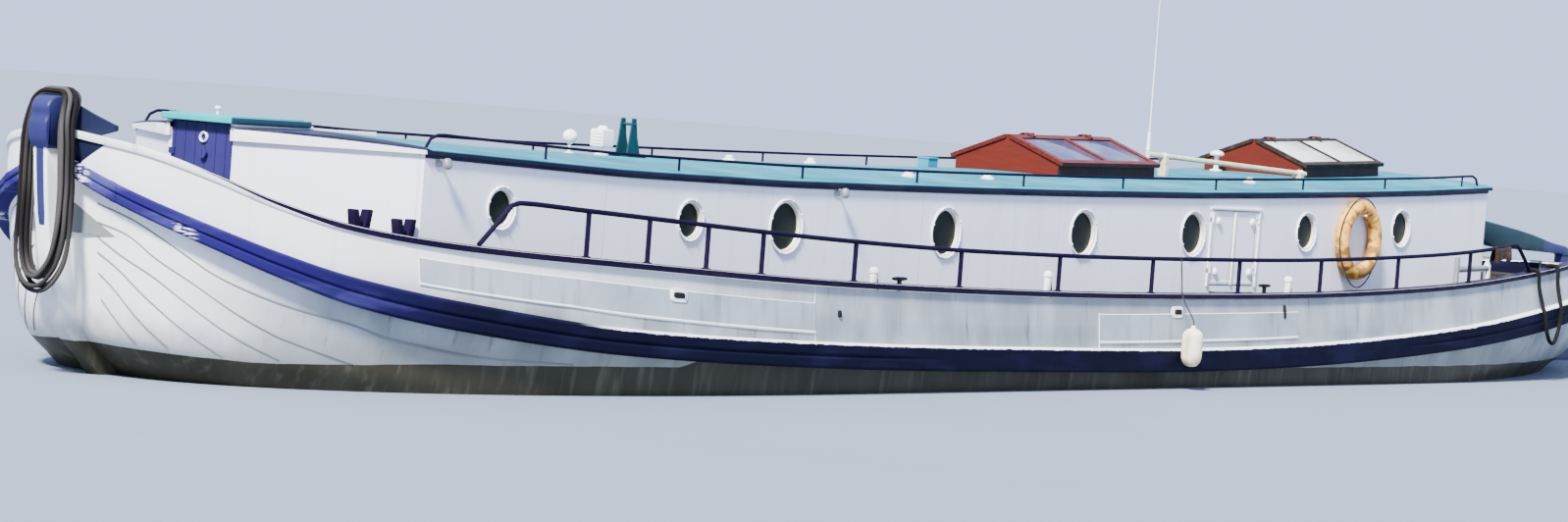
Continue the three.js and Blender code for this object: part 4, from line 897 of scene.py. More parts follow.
CAP_PAINT = finish("cap_paint", cap_paint, Specular_IOR_Level=0.04)
cap_t = hull_t[hull_t < notch_t]
out, drop = np.array(CAP_CORNERS).T
lip = np.clip((way_at(cap_t) - 1.6) / 2.0, 0, 1)[:, None]
cap_x, cap_y = plan_at(CAP_PLAN, cap_t[:, None], np.where(out > 0, out * (0.35 + 0.65 * lip), out))
cap_rings = np.stack([cap_x, cap_y, sheer(1, way_at(cap_t))[:, None] + drop], -1)
cap_rings = np.concatenate([cap_rings[:1] * on_centre + [0, 0.0005, 0], cap_rings])
cap_way = np.concatenate([[0], way_at(cap_t)])
cap_map = np.stack(np.broadcast_arrays(cap_way[:, None], np.linspace(0, 1, 8)), -1).reshape(-1, 2)
cap_part = (*closed_tube(cap_rings), np.concatenate([cap_map, [[0, 0], [cap_way[-1], 0]]]))
for side, turn in SIDES.items():
    capping = piece(f"capping_{side}", [turn(cap_part)], CAP_PAINT, sharp=30)
    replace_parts(capping, *(f"cap_rail_{part}_{side}" for part in ("bow", "middle", "stern")))
print("the rails run", round(float(cap_way[-1]), 1), "m")

# %% [markdown]
# ## Laps, doublers and scuppers
#
# Forward the strakes overlap, and each edge shows as a thin dark grey strip, dirt together with a painted
# shadow under the lap, that fans down from the stem. Two long plates are welded over the bulwark where it had
# rusted, with a thick bead along their lower edge. These lie on the skin by the same formula, moved out by
# their thickness.

# %% Strips on the skin
def skin_strip(t, level, section):
    """A closed strip on the skin along the places t and levels: its section gives the way up and out."""
    up, out = np.array(section).T
    rise = np.linalg.norm(skin(t, level[:, None] + 0.01) - skin(t, level[:, None] - 0.01), axis=-1) / 0.02
    return closed_tube(skin_out(t, level[:, None] + up / rise, np.broadcast_to(out, (len(t), len(up)))))


def line_on_skin(points, count):
    """Places t and levels along a line given by the way round the side and the height."""
    way, z = curve_through(points, count).T
    t = t_at_way(way)
    return t, level_at(t, z)


LAPS = [
    [(0.26, 1.892), (0.51, 1.807), (0.77, 1.66), (1.04, 1.49), (1.32, 1.377), (1.60, 1.294), (2.03, 1.199),
     (2.33, 1.11), (3.0, 1.01), (3.9, 0.965)],
    [(0.26, 1.768), (0.47, 1.704), (0.67, 1.558), (0.92, 1.406), (1.18, 1.239), (1.41, 1.122), (1.57, 1.064),
     (1.97, 0.94)],
    [(0.25, 1.673), (0.43, 1.559), (0.63, 1.446), (0.85, 1.285), (1.03, 1.155), (1.21, 1.048), (1.42, 0.95)],
    [(0.24, 1.575), (0.39, 1.475), (0.55, 1.327), (0.73, 1.168), (0.88, 1.048), (1.02, 0.95)],
    [(0.24, 1.44), (0.36, 1.33), (0.50, 1.16), (0.66, 0.99)],
    [(0.24, 1.27), (0.33, 1.15), (0.44, 1.00)],
]
LAP_SECTION = [(0.010, -0.003), (0.009, 0.0030), (0.0, 0.0055), (-0.004, 0.0030), (-0.004, -0.003)]
BEAD = [(0.008 * math.cos(a), 0.006 * math.sin(a)) for a in np.linspace(0, 2 * np.pi, 8, endpoint=False)]
laps = [skin_strip(*line_on_skin(line, 60), LAP_SECTION) for line in LAPS]
# the laps are dark grey: dirt along the edges together with a painted shadow under each lap
LAP_DIRT_AND_SHADOW = paint("lap_dirt_and_shadow", (0.17, 0.17, 0.17), (0.26, 0.26, 0.26), (0.10, 0.10, 0.09), gloss=0.6)
piece("laps", both(laps), LAP_DIRT_AND_SHADOW, sharp=50)


def doubler(from_way, to_way, low, high, count=90):
    """A plate between two lines of levels, each given by values spread evenly along it."""
    t = t_at_way(np.linspace(from_way, to_way, count))
    share = np.linspace(0, 1, count)
    bottom, top = (np.interp(share, np.linspace(0, 1, len(v)), v) for v in (low, high))
    columns = bottom[:, None] + np.linspace(0, 1, 7) * (top - bottom)[:, None]
    columns = np.concatenate([columns[:, :1], columns, columns[:, -1:]], 1)
    out = np.array([-0.003, *[0.007] * 7, -0.003])
    plate = closed_tube(skin_out(t, columns, np.broadcast_to(out, columns.shape)))
    return plate, skin_strip(t, bottom, [(u * 1.5, v * 1.7) for u, v in BEAD]), \
        skin_strip(t, top, [(u * 0.5, v) for u, v in BEAD])


def seam(way, low, high, wide=0.5):
    """An upright weld at a place along the side, between two levels."""
    t = np.full(24, float(t_at_way(way)))
    level = np.linspace(low, high, 24)
    path = skin_out(t, level[:, None], np.full((24, 1), 0.004 * wide))[:, 0]
    return closed_tube(carried(path, ring_of(0.006 * wide, 6)))


plate_a = doubler(2.57, 6.50, [5.30, 5.36, 5.33, 5.30], [5.70, 5.72, 5.70, 5.68])
plate_b = doubler(10.39, 13.60, [5.27, 5.30, 5.30], [5.68, 5.70, 5.70])
WORN_WHITE = paint("worn_white", (0.36, 0.40, 0.43), (0.24, 0.28, 0.31), (0.13, 0.14, 0.14), wear=0.9, run=0.8)
piece("doublers", [plate_a[0], plate_b[0], mirrored(plate_a[0]), mirrored(plate_b[0])], WORN_WHITE, sharp=45)
beads = [*plate_a[1:], *plate_b[1:], seam(2.57, 5.3, 5.7, 0.4), seam(6.50, 5.0, 5.95, 0.4), seam(10.39, 5.1, 5.7),
         seam(13.6, 5.3, 5.7, 0.4)]
piece("weld_beads", both(beads), TRIM_WHITE, sharp=60)
print("laps, plates and beads lie on the skin")

# %% [markdown]
# ## Stem
#
# The bow plates meet on a stem bar, and above it stands a head that once took the forestay. The bar's front
# carries a painted stripe that tapers downwards. Plates with rounded rims do for all of it; the head's
# outline is drawn through points and smoothed.

# %% Stem bar, head and stripe
STEM_FACE = np.array([
    (8.760, 0.000), (9.340, 0.120), (9.870, 0.370), (10.180, 0.640), (10.380, 0.850), (10.560, 1.000),
    (10.680, 1.180), (10.770, 1.450), (10.830, 1.750), (10.872, 2.050), (10.890, 2.232)])
STEM_BACK = [(10.600, 2.232), (10.450, 1.500), (10.000, 0.900), (9.300, 0.420), (8.600, 0.140)]
STEM_HEAD = [
    (10.560, 2.2323), (10.900, 2.2323), (10.928, 2.290), (10.935, 2.380), (10.918, 2.440), (10.922, 2.500),
    (10.880, 2.556), (10.810, 2.572), (10.740, 2.556), (10.690, 2.500), (10.600, 2.440)]
stem_face = curve_through(STEM_FACE, 48)
stem_bar = piece("stem", [slab([*stem_face, *STEM_BACK], -0.065, 0.065, 0.010, seen_from_side)], HULL_PAINT, sharp=28)
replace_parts(stem_bar, "stem_bar")


def stem_map(obj):
    """The hull's paint reads the way round the side and the height above the boot line from the map."""
    mesh = obj.data
    heights = np.empty(len(mesh.vertices) * 3)
    mesh.vertices.foreach_get("co", heights)
    corners = np.empty(len(mesh.loops), int)
    mesh.loops.foreach_get("vertex_index", corners)
    above = heights.reshape(-1, 3)[corners, 2] - BOOT_LINE[0][1]
    mesh.uv_layers["along"].data.foreach_set("uv", np.stack([above * 0 + 0.7, above], -1).ravel())


stem_map(stem_bar)
stripe_line = stem_face[(stem_face[:, 1] > 1.72)]
stripe_half = np.interp(stripe_line[:, 1], [1.72, 1.76, 2.23], [0.022, 0.031, 0.033])
across = np.array([-1, -0.9, 0.9, 1, 1, -1]) * stripe_half[:, None]
ahead = np.broadcast_to(np.array([0.002, 0.004, 0.004, 0.002, -0.004, -0.004]), across.shape)
stripe = np.stack([stripe_line[:, :1] + ahead, across, np.broadcast_to(stripe_line[:, 1:], across.shape)], -1)
piece("stem_stripe", [closed_tube(stripe)], BLUE, sharp=50)

head_outline = curve_through([*STEM_HEAD[1:]], 60)
head = slab([STEM_HEAD[0], *head_outline], -0.085, 0.085, 0.022, seen_from_side)
wing_ends = np.array([[[10.70, 0.060], [2.235, 2.545]], [[10.66, 0.230], [2.315, 2.470]],
                      [[10.60, 0.395], [2.372, 2.402]]])
wing_rings = []
for (x, y), (low, high) in wing_ends:
    wing_rings.append([(x - 0.014, y, low), (x - 0.014, y, high), (x, y, high + 0.004), (x + 0.014, y, high),
                       (x + 0.014, y, low), (x, y, low - 0.004)])
wing = closed_tube(np.array(wing_rings))


def head_paint(tree):
    """Blue on the head, and a darker blue on the wings."""
    at, x, y, z = boat_point(tree)
    head_blue = worn(tree, (0.018, 0.019, 0.080), (0.030, 0.034, 0.115), (0.02, 0.02, 0.04), at, 0.7, 0.5)
    wing_blue = worn(tree, (0.006, 0.008, 0.026), (0.010, 0.013, 0.036), (0.01, 0.01, 0.02), at, 0.6, 0.4)
    share = step(tree, maths(tree, "ABSOLUTE", y), 0.086, 0.110)
    rough = step(tree, noise(tree, at, 5.0), -0.6, 1.8)
    return blend(tree, share, head_blue, wing_blue), rough, noise(tree, at, 24.0), 0.001


stem_head = piece("stem_top", [head, wing, mirrored(wing)], finish("head_paint", head_paint), sharp=30)
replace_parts(stem_head, "stem_head")
print("the stem stands to", round(float(head_outline[:, 1].max()), 2), "m")

# %% [markdown]
# ## Roof
#
# The roof is laid with a low crown and follows the sheer. It was canvas once and is plywood or steel now, with
# a painted edge. It is one grid over the plan, closed by a copy below and by walls where cells are
# missing: round the hatch, under the two skylights and round the outside. The height over the plan is the
# roof line plus a crown that falls with the square of the way from the middle.

# %% Roof line
ROOF_LINE = np.array([
    (-6.740, 2.536, 0.060), (-5.500, 2.476, 0.060), (-4.300, 2.430, 0.060), (-2.400, 2.370, 0.060),
    (-1.300, 2.341, 0.060), (0.500, 2.308, 0.060), (2.200, 2.286, 0.060), (4.600, 2.268, 0.060),
    (6.500, 2.286, 0.060), (7.800, 2.326, 0.058), (8.700, 2.355, 0.055), (9.440, 2.345, 0.055)])
CABIN_HALF, CABIN_FRONT, SHOULDER = 1.360, 9.410, 8.680
ROOF_HALF, ROOF_EDGE = 1.388, 0.042
HATCH_AFT, HATCH_HALF = 8.760, 0.285
WELL_HALF = 0.490
SKYLIGHTS = {"skylight_fore": (-0.390, -1.950), "skylight_aft": (-4.560, -6.020)}
COAMING = 0.040


def roof_low(x):
    """The height of the roof's underside."""
    return np.interp(x, ROOF_LINE[:, 0], ROOF_LINE[:, 1])


def roof_top(x, y):
    """The height of its upper side: the underside, the edge and the crown."""
    return roof_low(x) + ROOF_EDGE + np.interp(x, ROOF_LINE[:, 0], ROOF_LINE[:, 2]) * (1 - (y / ROOF_HALF) ** 2)


print("the roof's edge is", round(float(roof_low(0)), 2), "m up amidships")

# %% Plate over a plan
def plate_over(x, y, low, high, keep):
    """A closed plate over a grid in plan; walls close it round the cells that are kept. Its map gives the depth
    below the upper side."""
    rows, columns = x.shape
    count = rows * columns
    cells = np.argwhere(keep)
    corner = cells[:, 0] * columns + cells[:, 1]
    top = np.stack([corner, corner + columns, corner + columns + 1, corner + 1], -1)
    edges = np.concatenate([np.roll(top, -k, 1)[:, :2] for k in range(4)])
    codes = edges[:, 0] * count + edges[:, 1]
    free = edges[~np.isin(codes, edges[:, 1] * count + edges[:, 0])]
    walls = np.stack([free[:, 1], free[:, 0], free[:, 0] + count, free[:, 1] + count], -1)
    points = np.concatenate([np.stack([x, y, high], -1).reshape(-1, 3), np.stack([x, y, low], -1).reshape(-1, 3)])
    depth = np.concatenate([np.zeros(count), (high - low).ravel()])
    return points, [top, top[:, ::-1] + count, walls], np.stack([points[:, 0], depth], -1)


def spread(*limits, most=0.12):
    """Places from limit to limit, no further apart than the most given, with the limits among them."""
    runs = [np.linspace(a, b, max(2, math.ceil((b - a) / most) + 1))[:-1] for a, b in zip(limits, limits[1:])]
    return np.concatenate([*runs, [limits[-1]]])


print("places from 0 to 1:", len(spread(0, 1)))

# %% Roof
wells = sorted(x for fore, aft in SKYLIGHTS.values() for x in (fore - COAMING, aft + COAMING))
roof_x = spread(-6.740, *wells, 8.700, HATCH_AFT, 9.440)
inner_y = spread(-HATCH_HALF, 0, HATCH_HALF, most=0.1)
well_share = (WELL_HALF - HATCH_HALF) / (ROOF_HALF - HATCH_HALF)
outer_share = spread(0, well_share, 0.94, 1, most=0.1)
half_width = np.interp(roof_x, [SHOULDER + 0.02, 9.440], [ROOF_HALF, 0.322])
side_y = HATCH_HALF + outer_share[None, 1:] * (half_width[:, None] - HATCH_HALF)
plan_y = np.concatenate([-side_y[:, ::-1], np.broadcast_to(inner_y, (len(roof_x), len(inner_y))), side_y], 1)
plan_x = np.broadcast_to(roof_x[:, None], plan_y.shape)
mid_x = (roof_x[1:] + roof_x[:-1]) / 2
mid_y = (plan_y[1:, 1:] + plan_y[1:, :-1]) / 2
in_well = np.any([(mid_x < fore - COAMING) & (mid_x > aft + COAMING) for fore, aft in SKYLIGHTS.values()], axis=0)
in_hatch = (mid_x > HATCH_AFT)[:, None] & (np.abs(mid_y) < HATCH_HALF)
keep = ~(in_well[:, None] & (np.abs(mid_y) < WELL_HALF)) & ~in_hatch
rise = roof_top(plan_x, plan_y)
rounded = np.where(np.abs(plan_y) > half_width[:, None] - 0.001, 0.010, 0.0)
roof_parts = [plate_over(plan_x, plan_y, roof_low(plan_x), rise - rounded, keep)]
for side in (1, -1):        # the runners that the lid slides on
    y = sorted((side * HATCH_HALF, side * (HATCH_HALF + 0.030)))
    roof_parts.append(box((8.020, 9.438), y, (2.400, 2.4567)))
print("roof cells kept:", int(keep.sum()))

# %% Roof paint
def roof_paint(tree):
    """Turquoise above, a navy edge four centimetres deep, and white below that; the canvas shows as a weave."""
    at = boat_point(tree)[0]
    x, edge = along(tree)
    top = worn(tree, (0.014, 0.150, 0.200), (0.036, 0.250, 0.310), (0.02, 0.09, 0.11), at, 0.9, 0.3)
    green = step(tree, noise(tree, at, 0.8, 4), 0.50, 0.70)
    top = blend(tree, maths(tree, "MULTIPLY", green, 0.6), top, (0.010, 0.105, 0.110))
    navy = worn(tree, (0.005, 0.005, 0.022), (0.010, 0.010, 0.034), (0.03, 0.03, 0.04), at, 0.6, 0.3)
    white_from = maths(tree, "MULTIPLY_ADD", step(tree, x, 8.68, 8.70), -0.040, 0.045)
    navy = blend(tree, step(tree, maths(tree, "SUBTRACT", edge, white_from), 0.0, 0.003), navy, (0.76, 0.76, 0.75))
    weave = node(tree, "TexVoronoi", {"Vector": at, "Scale": 240.0})
    shown = maths(tree, "MULTIPLY", step(tree, edge, 0.008, 0.003), step(tree, x, 8.66, 8.64))
    return blend(tree, shown, navy, top), step(tree, noise(tree, at, 2.4), -0.6, 1.6), weave, 0.0003


ROOF_PAINT = finish("roof_paint", roof_paint)
TURQUOISE = paint("turquoise_paint", (0.016, 0.220, 0.320), (0.040, 0.300, 0.390), (0.03, 0.12, 0.16), gloss=0.3)
roof = piece("cabin_roof", roof_parts, ROOF_PAINT, sharp=30)
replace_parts(roof, "roof")
print("the roof has", len(roof.data.polygons), "faces")

# %% Strip under the roof's edge
strip_x = spread(-6.686, 8.676, most=0.4)
STRIP_CORNERS = [(-0.002, -0.026), (0.010, -0.026), (0.014, -0.022), (0.014, 0.002), (-0.002, 0.002)]
strip = np.stack([np.stack([strip_x, strip_x * 0 + CABIN_HALF + out, roof_low(strip_x) + drop], -1)
                  for out, drop in STRIP_CORNERS], 1)
STRIP_NAVY = paint("strip_navy", (0.005, 0.005, 0.022), (0.010, 0.010, 0.034), (0.03, 0.03, 0.04))
piece("eaves_strip", both([closed_tube(strip)]), STRIP_NAVY)
print("the strip runs", round(float(np.ptp(strip_x)), 2), "m along the roof")

# %% Hatch lid
LID = {"half": 0.330, "aft": 8.700, "fore": 9.480, "low": 2.457, "thick": 0.046}
lid_parts = [box((LID["aft"], LID["fore"]), (-LID["half"], LID["half"]),
                 (LID["low"], LID["low"] + LID["thick"]), 0.009)]
lid_parts.append(box((LID["aft"] + 0.03, LID["fore"] - 0.03), (-0.29, 0.29), (2.502, 2.510), 0.004))
knob = [(0.020, 2.505), (0.010, 2.510), (0.010, 2.535), (0.022, 2.545), (0.024, 2.556), (0.016, 2.566),
        (0.001, 2.568)]
piece("lid_knob", [lathed(knob, (9.280, 0, 0), sides=16)], TRIM_WHITE, body="front_lid", sharp=40)


def lid_paint(tree):
    """Turquoise, with the sides a darker grey-blue: painted shade where they face away from the sun."""
    at, x, y, z = boat_point(tree)
    bright = worn(tree, (0.006, 0.310, 0.350), (0.016, 0.380, 0.420), (0.03, 0.12, 0.16), at, 0.6, 0.3)
    side = step(tree, maths(tree, "ABSOLUTE", y), LID["half"] - 0.004, LID["half"] - 0.001)
    rough = step(tree, noise(tree, at, 5.0), -0.6, 1.8)
    return blend(tree, side, bright, (0.018, 0.048, 0.070)), rough, noise(tree, at, 24.0), 0.0006


lid = piece("hatch_lid", lid_parts, finish("lid_paint", lid_paint), body="front_lid", sharp=40)
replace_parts(lid, "front_lid")
print("the lid is", round(LID["fore"] - LID["aft"], 2), "m long")

# %% [markdown]
# ## Skylights
#
# Each skylight is a small gabled house on the roof: mahogany gables, dark coamings and two glazed sashes
# hinged at the ridge. A sash is a plate with two openings, laid on the slope, with a pane set in each. The
# place on the slope is the ridge point plus the way down times the slope's direction, plus the height times
# its normal, and all of it turns by the roof's own fall.

# %% Slope of a skylight
HALF, EAVES, RIDGE, RIDGE_HALF, SASH_THICK, OVERHANG = 0.530, 0.110, 0.300, 0.016, 0.034, 0.045
SLOPE = math.hypot(HALF - RIDGE_HALF, RIDGE - EAVES)
DOWN = np.array([(HALF - RIDGE_HALF) / SLOPE, (EAVES - RIDGE) / SLOPE])
# the wood starts this far below the ridge, the glass ends this far above the eaves, and both lie this far off
SASH_TOP, SASH_FOOT, SASH_GAP = 0.004, 0.020, 0.0003


def on_roof_slope(fore, aft):
    """The places of a skylight's port slope: along the boat from its middle, down the slope, and off it."""
    middle = (fore + aft) / 2
    fall = math.atan2(float(roof_low(aft) - roof_low(fore)), fore - aft)

    def place(u, v, w):
        y = RIDGE_HALF + v * DOWN[0] - w * DOWN[1]
        z = RIDGE + v * DOWN[1] + w * DOWN[0]
        x, z = u * math.cos(fall) + z * math.sin(fall), z * math.cos(fall) - u * math.sin(fall)
        return np.stack([middle + x, y, float(roof_top(middle, HALF)) + z], -1)
    return place


print("each slope is", round(SLOPE, 2), "m from ridge to eaves")

# %% Wood and glass
def wood(name, light, dark, worn_share=0.3, gloss=0.3):
    """Varnished or painted wood: the grain is a noise drawn out along the boat."""
    def build(tree):
        at = boat_point(tree)[0]
        grain = noise(tree, at, 40.0, 6, (0.12, 1, 1))
        colour = blend(tree, step(tree, grain, 0.3, 0.7), light, dark)
        grey = step(tree, noise(tree, at, 6.0, 4), 0.6, 0.8)
        colour = blend(tree, maths(tree, "MULTIPLY", grey, worn_share), colour, (0.16, 0.10, 0.08))
        return colour, maths(tree, "MULTIPLY_ADD", grain, 0.3, gloss), grain, 0.0008
    return finish(name, build)


def glass(name, colour, cloud_and_reflection, gloss=0.05):
    """Old glass, kept opaque: its colour is painted, dark or bright by what lies behind it and by the sky
    it reflects, and its cloudy patches are painted reflection as well as dust.
    """
    def build(tree):
        at = boat_point(tree)[0]
        dust_and_reflection = step(tree, noise(tree, at, 4.0, 5), 0.40, 0.75)
        dusty_and_reflecting = blend(tree, maths(tree, "MULTIPLY", dust_and_reflection, 0.6), colour, cloud_and_reflection)
        return dusty_and_reflecting, maths(tree, "MULTIPLY_ADD", dust_and_reflection, 0.25, gloss), noise(tree, at, 3.0), 0.0006
    return finish(name, build, Specular_IOR_Level=0.08)


MAHOGANY = wood("mahogany", (0.110, 0.014, 0.008), (0.058, 0.008, 0.006))
BROWN_WOOD = wood("brown_wood", (0.034, 0.020, 0.014), (0.015, 0.010, 0.007), gloss=0.5)
POLE_WOOD = wood("pole_wood", (0.66, 0.58, 0.40), (0.48, 0.40, 0.26), gloss=0.4)
SKY_GLASS = glass("sky_glass", (0.060, 0.066, 0.130), (0.15, 0.17, 0.26))
MILK_GLASS = glass("milk_glass", (0.50, 0.52, 0.54), (0.60, 0.61, 0.62), gloss=0.2)
PORT_GLASS = glass("port_glass", (0.006, 0.009, 0.007), (0.018, 0.024, 0.019), gloss=0.3)


print("finishes by now:", len(bpy.data.materials))

# %% Sashes and panes
def sash_parts(fore, aft, stile, muntin, head):
    """The wood of a port sash and its two panes."""
    place = on_roof_slope(fore, aft)
    end = (fore - aft) / 2 + 0.014
    long = spread(-end, -end + stile, -muntin / 2, muntin / 2, end - stile, end, most=0.3)
    down = spread(SASH_TOP, head, SLOPE - SASH_FOOT, SLOPE + OVERHANG, most=0.2)
    u, v = np.meshgrid(long, down, indexing="ij")
    mu, mv = (long[1:] + long[:-1]) / 2, (down[1:] + down[:-1]) / 2
    along_hole = (np.abs(mu) > muntin / 2) & (np.abs(mu) < end - stile)
    opening = along_hole[:, None] & ((mv > head) & (mv < SLOPE - SASH_FOOT))
    points, faces, level = plate_over(u, v, u * 0 + SASH_GAP, u * 0 + SASH_GAP + SASH_THICK, ~opening)
    timber = [(place(*points.T), faces, level)]
    panes = []
    for low, high in ((-end + stile, -muntin / 2), (muntin / 2, end - stile)):
        corners = [(low, head), (high, head), (high, SLOPE - SASH_FOOT), (low, SLOPE - SASH_FOOT)]
        panes.append(slab(corners, 0.013, 0.021, 0.001, place))
    for share in (-0.62, 0.56):
        x = share * (fore - aft) / 2 + 0.0423
        pin = place(np.array([x, x + 0.042]), np.full(2, SASH_TOP), np.full(2, SASH_GAP + SASH_THICK + 0.010))
        timber.append(bar(pin[0], pin[1], 0.008))
        leaf = [(x, SASH_TOP), (x + 0.042, SASH_TOP), (x + 0.042, 0.060), (x, 0.060)]
        timber.append(slab(leaf, SASH_THICK - 0.001, SASH_THICK + 0.014, 0.003, place))
    return timber, panes


for name, (fore, aft) in SKYLIGHTS.items():
    pale = name.endswith("aft")
    timber, panes = sash_parts(fore, aft, *((0.032, 0.034, 0.034) if pale else (0.075, 0.060, 0.070)))
    for side, turn in SIDES.items():
        sash = piece(f"{name}_wood_{side}", [turn(p) for p in timber], BROWN_WOOD if pale else MAHOGANY,
                     body=f"{name}_sash_{side}", sharp=30)
        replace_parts(sash, f"{name}_sash_{side}")
        piece(f"{name}_pane_{side}", [turn(p) for p in panes], MILK_GLASS if pale else SKY_GLASS,
              body=f"{name}_sash_{side}", sharp=30)
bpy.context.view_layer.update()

# %% [markdown]
# ## Round windows
#
# Each light is a flanged ring screwed over a hole in the cabin side, with a sleeve behind it and thick
# glass at the back of the sleeve. A ring is a closed profile turned about its own axis, which could as
# well be cut from a solid; turned, it gets its soft edges for nothing. Eight screws hold each flange.

# %% Round windows
# place, height and outer width of each window, on both sides
WINDOWS = [(7.860, 2.010, 0.300), (5.740, 1.974, 0.305), (4.570, 1.952, 0.410), (2.450, 1.949, 0.405),
           (0.445, 1.982, 0.400), (-1.300, 2.012, 0.395), (-3.250, 2.066, 0.352), (-5.010, 2.133, 0.352)]
FLANGE, SLEEVE = 0.024, 0.034
CREAM = paint("cream_paint", (0.86, 0.82, 0.70), (0.72, 0.64, 0.48), (0.34, 0.26, 0.15), wear=0.7)
flanges, sleeves, panes = [], [], []
for x, z, across in WINDOWS:
    half = across / 2
    hole = half - FLANGE
    rim = [(hole - 0.001, -0.004), (hole - 0.001, 0.001), (half - 0.008, 0.004), (half - 0.006, 0.014),
           (half - 0.002, 0.016), (half + 0.002, 0.013), (half + 0.003, 0.0), (hole + 0.012, -0.004)]
    flanges.append(turned(rim, (x, CABIN_HALF, z), (0, 1, 0), 40))
    narrow = hole * 0.96
    tube = [(hole, -0.003), (hole - 0.002, 0.002), (narrow, -SLEEVE), (narrow + 0.012, -SLEEVE)]
    sleeves.append(turned(tube, (x, CABIN_HALF, z), (0, 1, 0), 40))
    pane = [(0.001, -SLEEVE), (narrow + 0.006, -SLEEVE), (narrow + 0.006, -SLEEVE + 0.008), (0.001, -SLEEVE + 0.010)]
    panes.append(lathed(pane, (x, CABIN_HALF, z), (0, 1, 0), 40))
    for turn in np.arange(8) * math.pi / 4 + 0.3:
        reach = across / 2 - 0.004
        at = (x + reach * math.cos(turn), CABIN_HALF + 0.014, z + reach * math.sin(turn))
        flanges.append(lathed([(0.008, 0.0), (0.0075, 0.006), (0.004, 0.010), (0.0005, 0.011)], at, (0, 1, 0), 8))
# the blue in this white is painted shade, to match the walls round the windows
SHADE_TINTED_WHITE = paint("white_shade_tinted", (0.76, 0.77, 0.82), (0.68, 0.68, 0.71), (0.44, 0.42, 0.38), gloss=0.35)
for name, parts, material in (("window_rims", flanges, SHADE_TINTED_WHITE), ("window_sleeves", sleeves, CREAM),
                              ("window_panes", panes, PORT_GLASS)):
    piece(name, both(parts), material, sharp=50)
print("windows:", 2 * len(WINDOWS))

# %% [markdown]
# ## Rails
#
# A tube rail stands on the cap along the side decks, and a thinner one runs along each roof edge. The path
# follows the cap line, set in a little, with its ends bent down, and the posts stand where the photograph
# shows them.

# %% Rails
RAIL_INWARD, RAIL_RADIUS, POST_RADIUS = 0.018, 0.018, 0.018
FOOT_PLATE = [(0.034, 0.0), (0.034, 0.004), (0.016, 0.010), (0.001, 0.010)]
POSTS = [7.400, 6.800, 6.180, 5.560, 4.430, 3.030, 1.630, 0.220, -1.180, -2.580, -3.980, -5.370]


def rail_height(x):
    """The rail climbs a little towards the bow."""
    return 0.282 + 0.042 * np.clip((np.asarray(x) - 3.0) / 4.95, 0, 1)


level_x = spread(-6.29, 7.95, most=0.5)[::-1]
rail_x = np.array([8.360, 8.290, 8.160, 8.090, *level_x, -6.400, -6.560, -6.700, -6.742])
rail_lift = np.array([0.005, 0.084, 0.228, 0.304, *rail_height(level_x), 0.268, 0.160, 0.048, 0.005])


def cap_point(x, lift):
    """A point over the rail's line on the cap, at just this x."""
    x = np.atleast_1d(x)
    return on_cap(x, RAIL_INWARD, np.atleast_1d(lift)) * [0, 1, 1] + x[:, None] * [1, 0, 0]


rail_path = curve_through(cap_point(rail_x, rail_lift), 240)
rail_parts = [closed_tube(carried(rail_path, ring_of(RAIL_RADIUS, 12)))]
for x in POSTS:
    foot, top = cap_point(x, -0.004)[0], cap_point(x, rail_height(x))[0]
    rail_parts.append(bar(foot, top, POST_RADIUS))
    rail_parts.append(lathed(FOOT_PLATE, foot + [0, 0, 0.004], sides=14))
roof_rail_x = np.array([8.640, 8.590, 8.500, *spread(-6.42, 8.3, most=0.5)[::-1], -6.500, -6.540])
roof_lift = np.full(len(roof_rail_x), 0.092)
roof_lift[[0, 1, -2, -1]] = -0.004, 0.064, 0.064, -0.004
ROOF_RAIL_Y = 1.325


def roof_point(x, y, lift):
    """A point above the roof's upper side."""
    x, y, lift = np.broadcast_arrays(*(np.atleast_1d(v).astype(float) for v in (x, y, lift)))
    return np.stack([x, y, roof_top(x, y) + lift], -1)


roof_path = curve_through(roof_point(roof_rail_x, ROOF_RAIL_Y, roof_lift), 200)
roof_rail_parts = [closed_tube(carried(roof_path, ring_of(0.011, 10)))]
for x in 7.379 - 1.511 * np.arange(10):
    roof_rail_parts.append(bar(roof_point(x, ROOF_RAIL_Y, -0.006)[0], roof_point(x, ROOF_RAIL_Y, 0.092)[0], 0.009, 8))
for side, turn in SIDES.items():
    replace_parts(piece(f"side_rail_{side}", [turn(p) for p in rail_parts], RAIL, sharp=40), f"handrail_{side}")
    edge_rail = piece(f"roof_edge_rail_{side}", [turn(p) for p in roof_rail_parts], RAIL, sharp=40)
    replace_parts(edge_rail, f"roof_rail_{side}")
print("rail posts on each side:", len(POSTS))

# %% [markdown]
# ## Mooring and roof gear
#
# Horned bollards stand in pairs on the foredeck, and small T-shaped posts and capped white pipes on the side
# decks: welded plate and tube, thick with paint. On the roof are low caps, a mushroom vent, a ball on a stalk,
# a lamp and a locker. Turned profiles give the round ones, and boxes the rest.

# %% Bollards, posts and pipes
POST_BODY = [(-0.075, 0.0), (0.075, 0.0), (0.075, 0.400), (-0.075, 0.400)]
HORN = [(0.014, 0.380), (0.075, 0.380), (0.077, 0.420), (0.086, 0.470), (0.097, 0.528), (0.092, 0.537),
        (0.044, 0.537), (0.026, 0.470)]


def bollard(x, y):
    """A bollard's body and its two horns, as three plates."""
    at = np.array([x, float(deck_at(x)) - 0.040])
    return [slab(np.array(outline) + at, y - 0.034, y + 0.034, 0.010, seen_from_side)
            for outline in (POST_BODY, HORN, [(-u, w) for u, w in HORN[::-1]])]


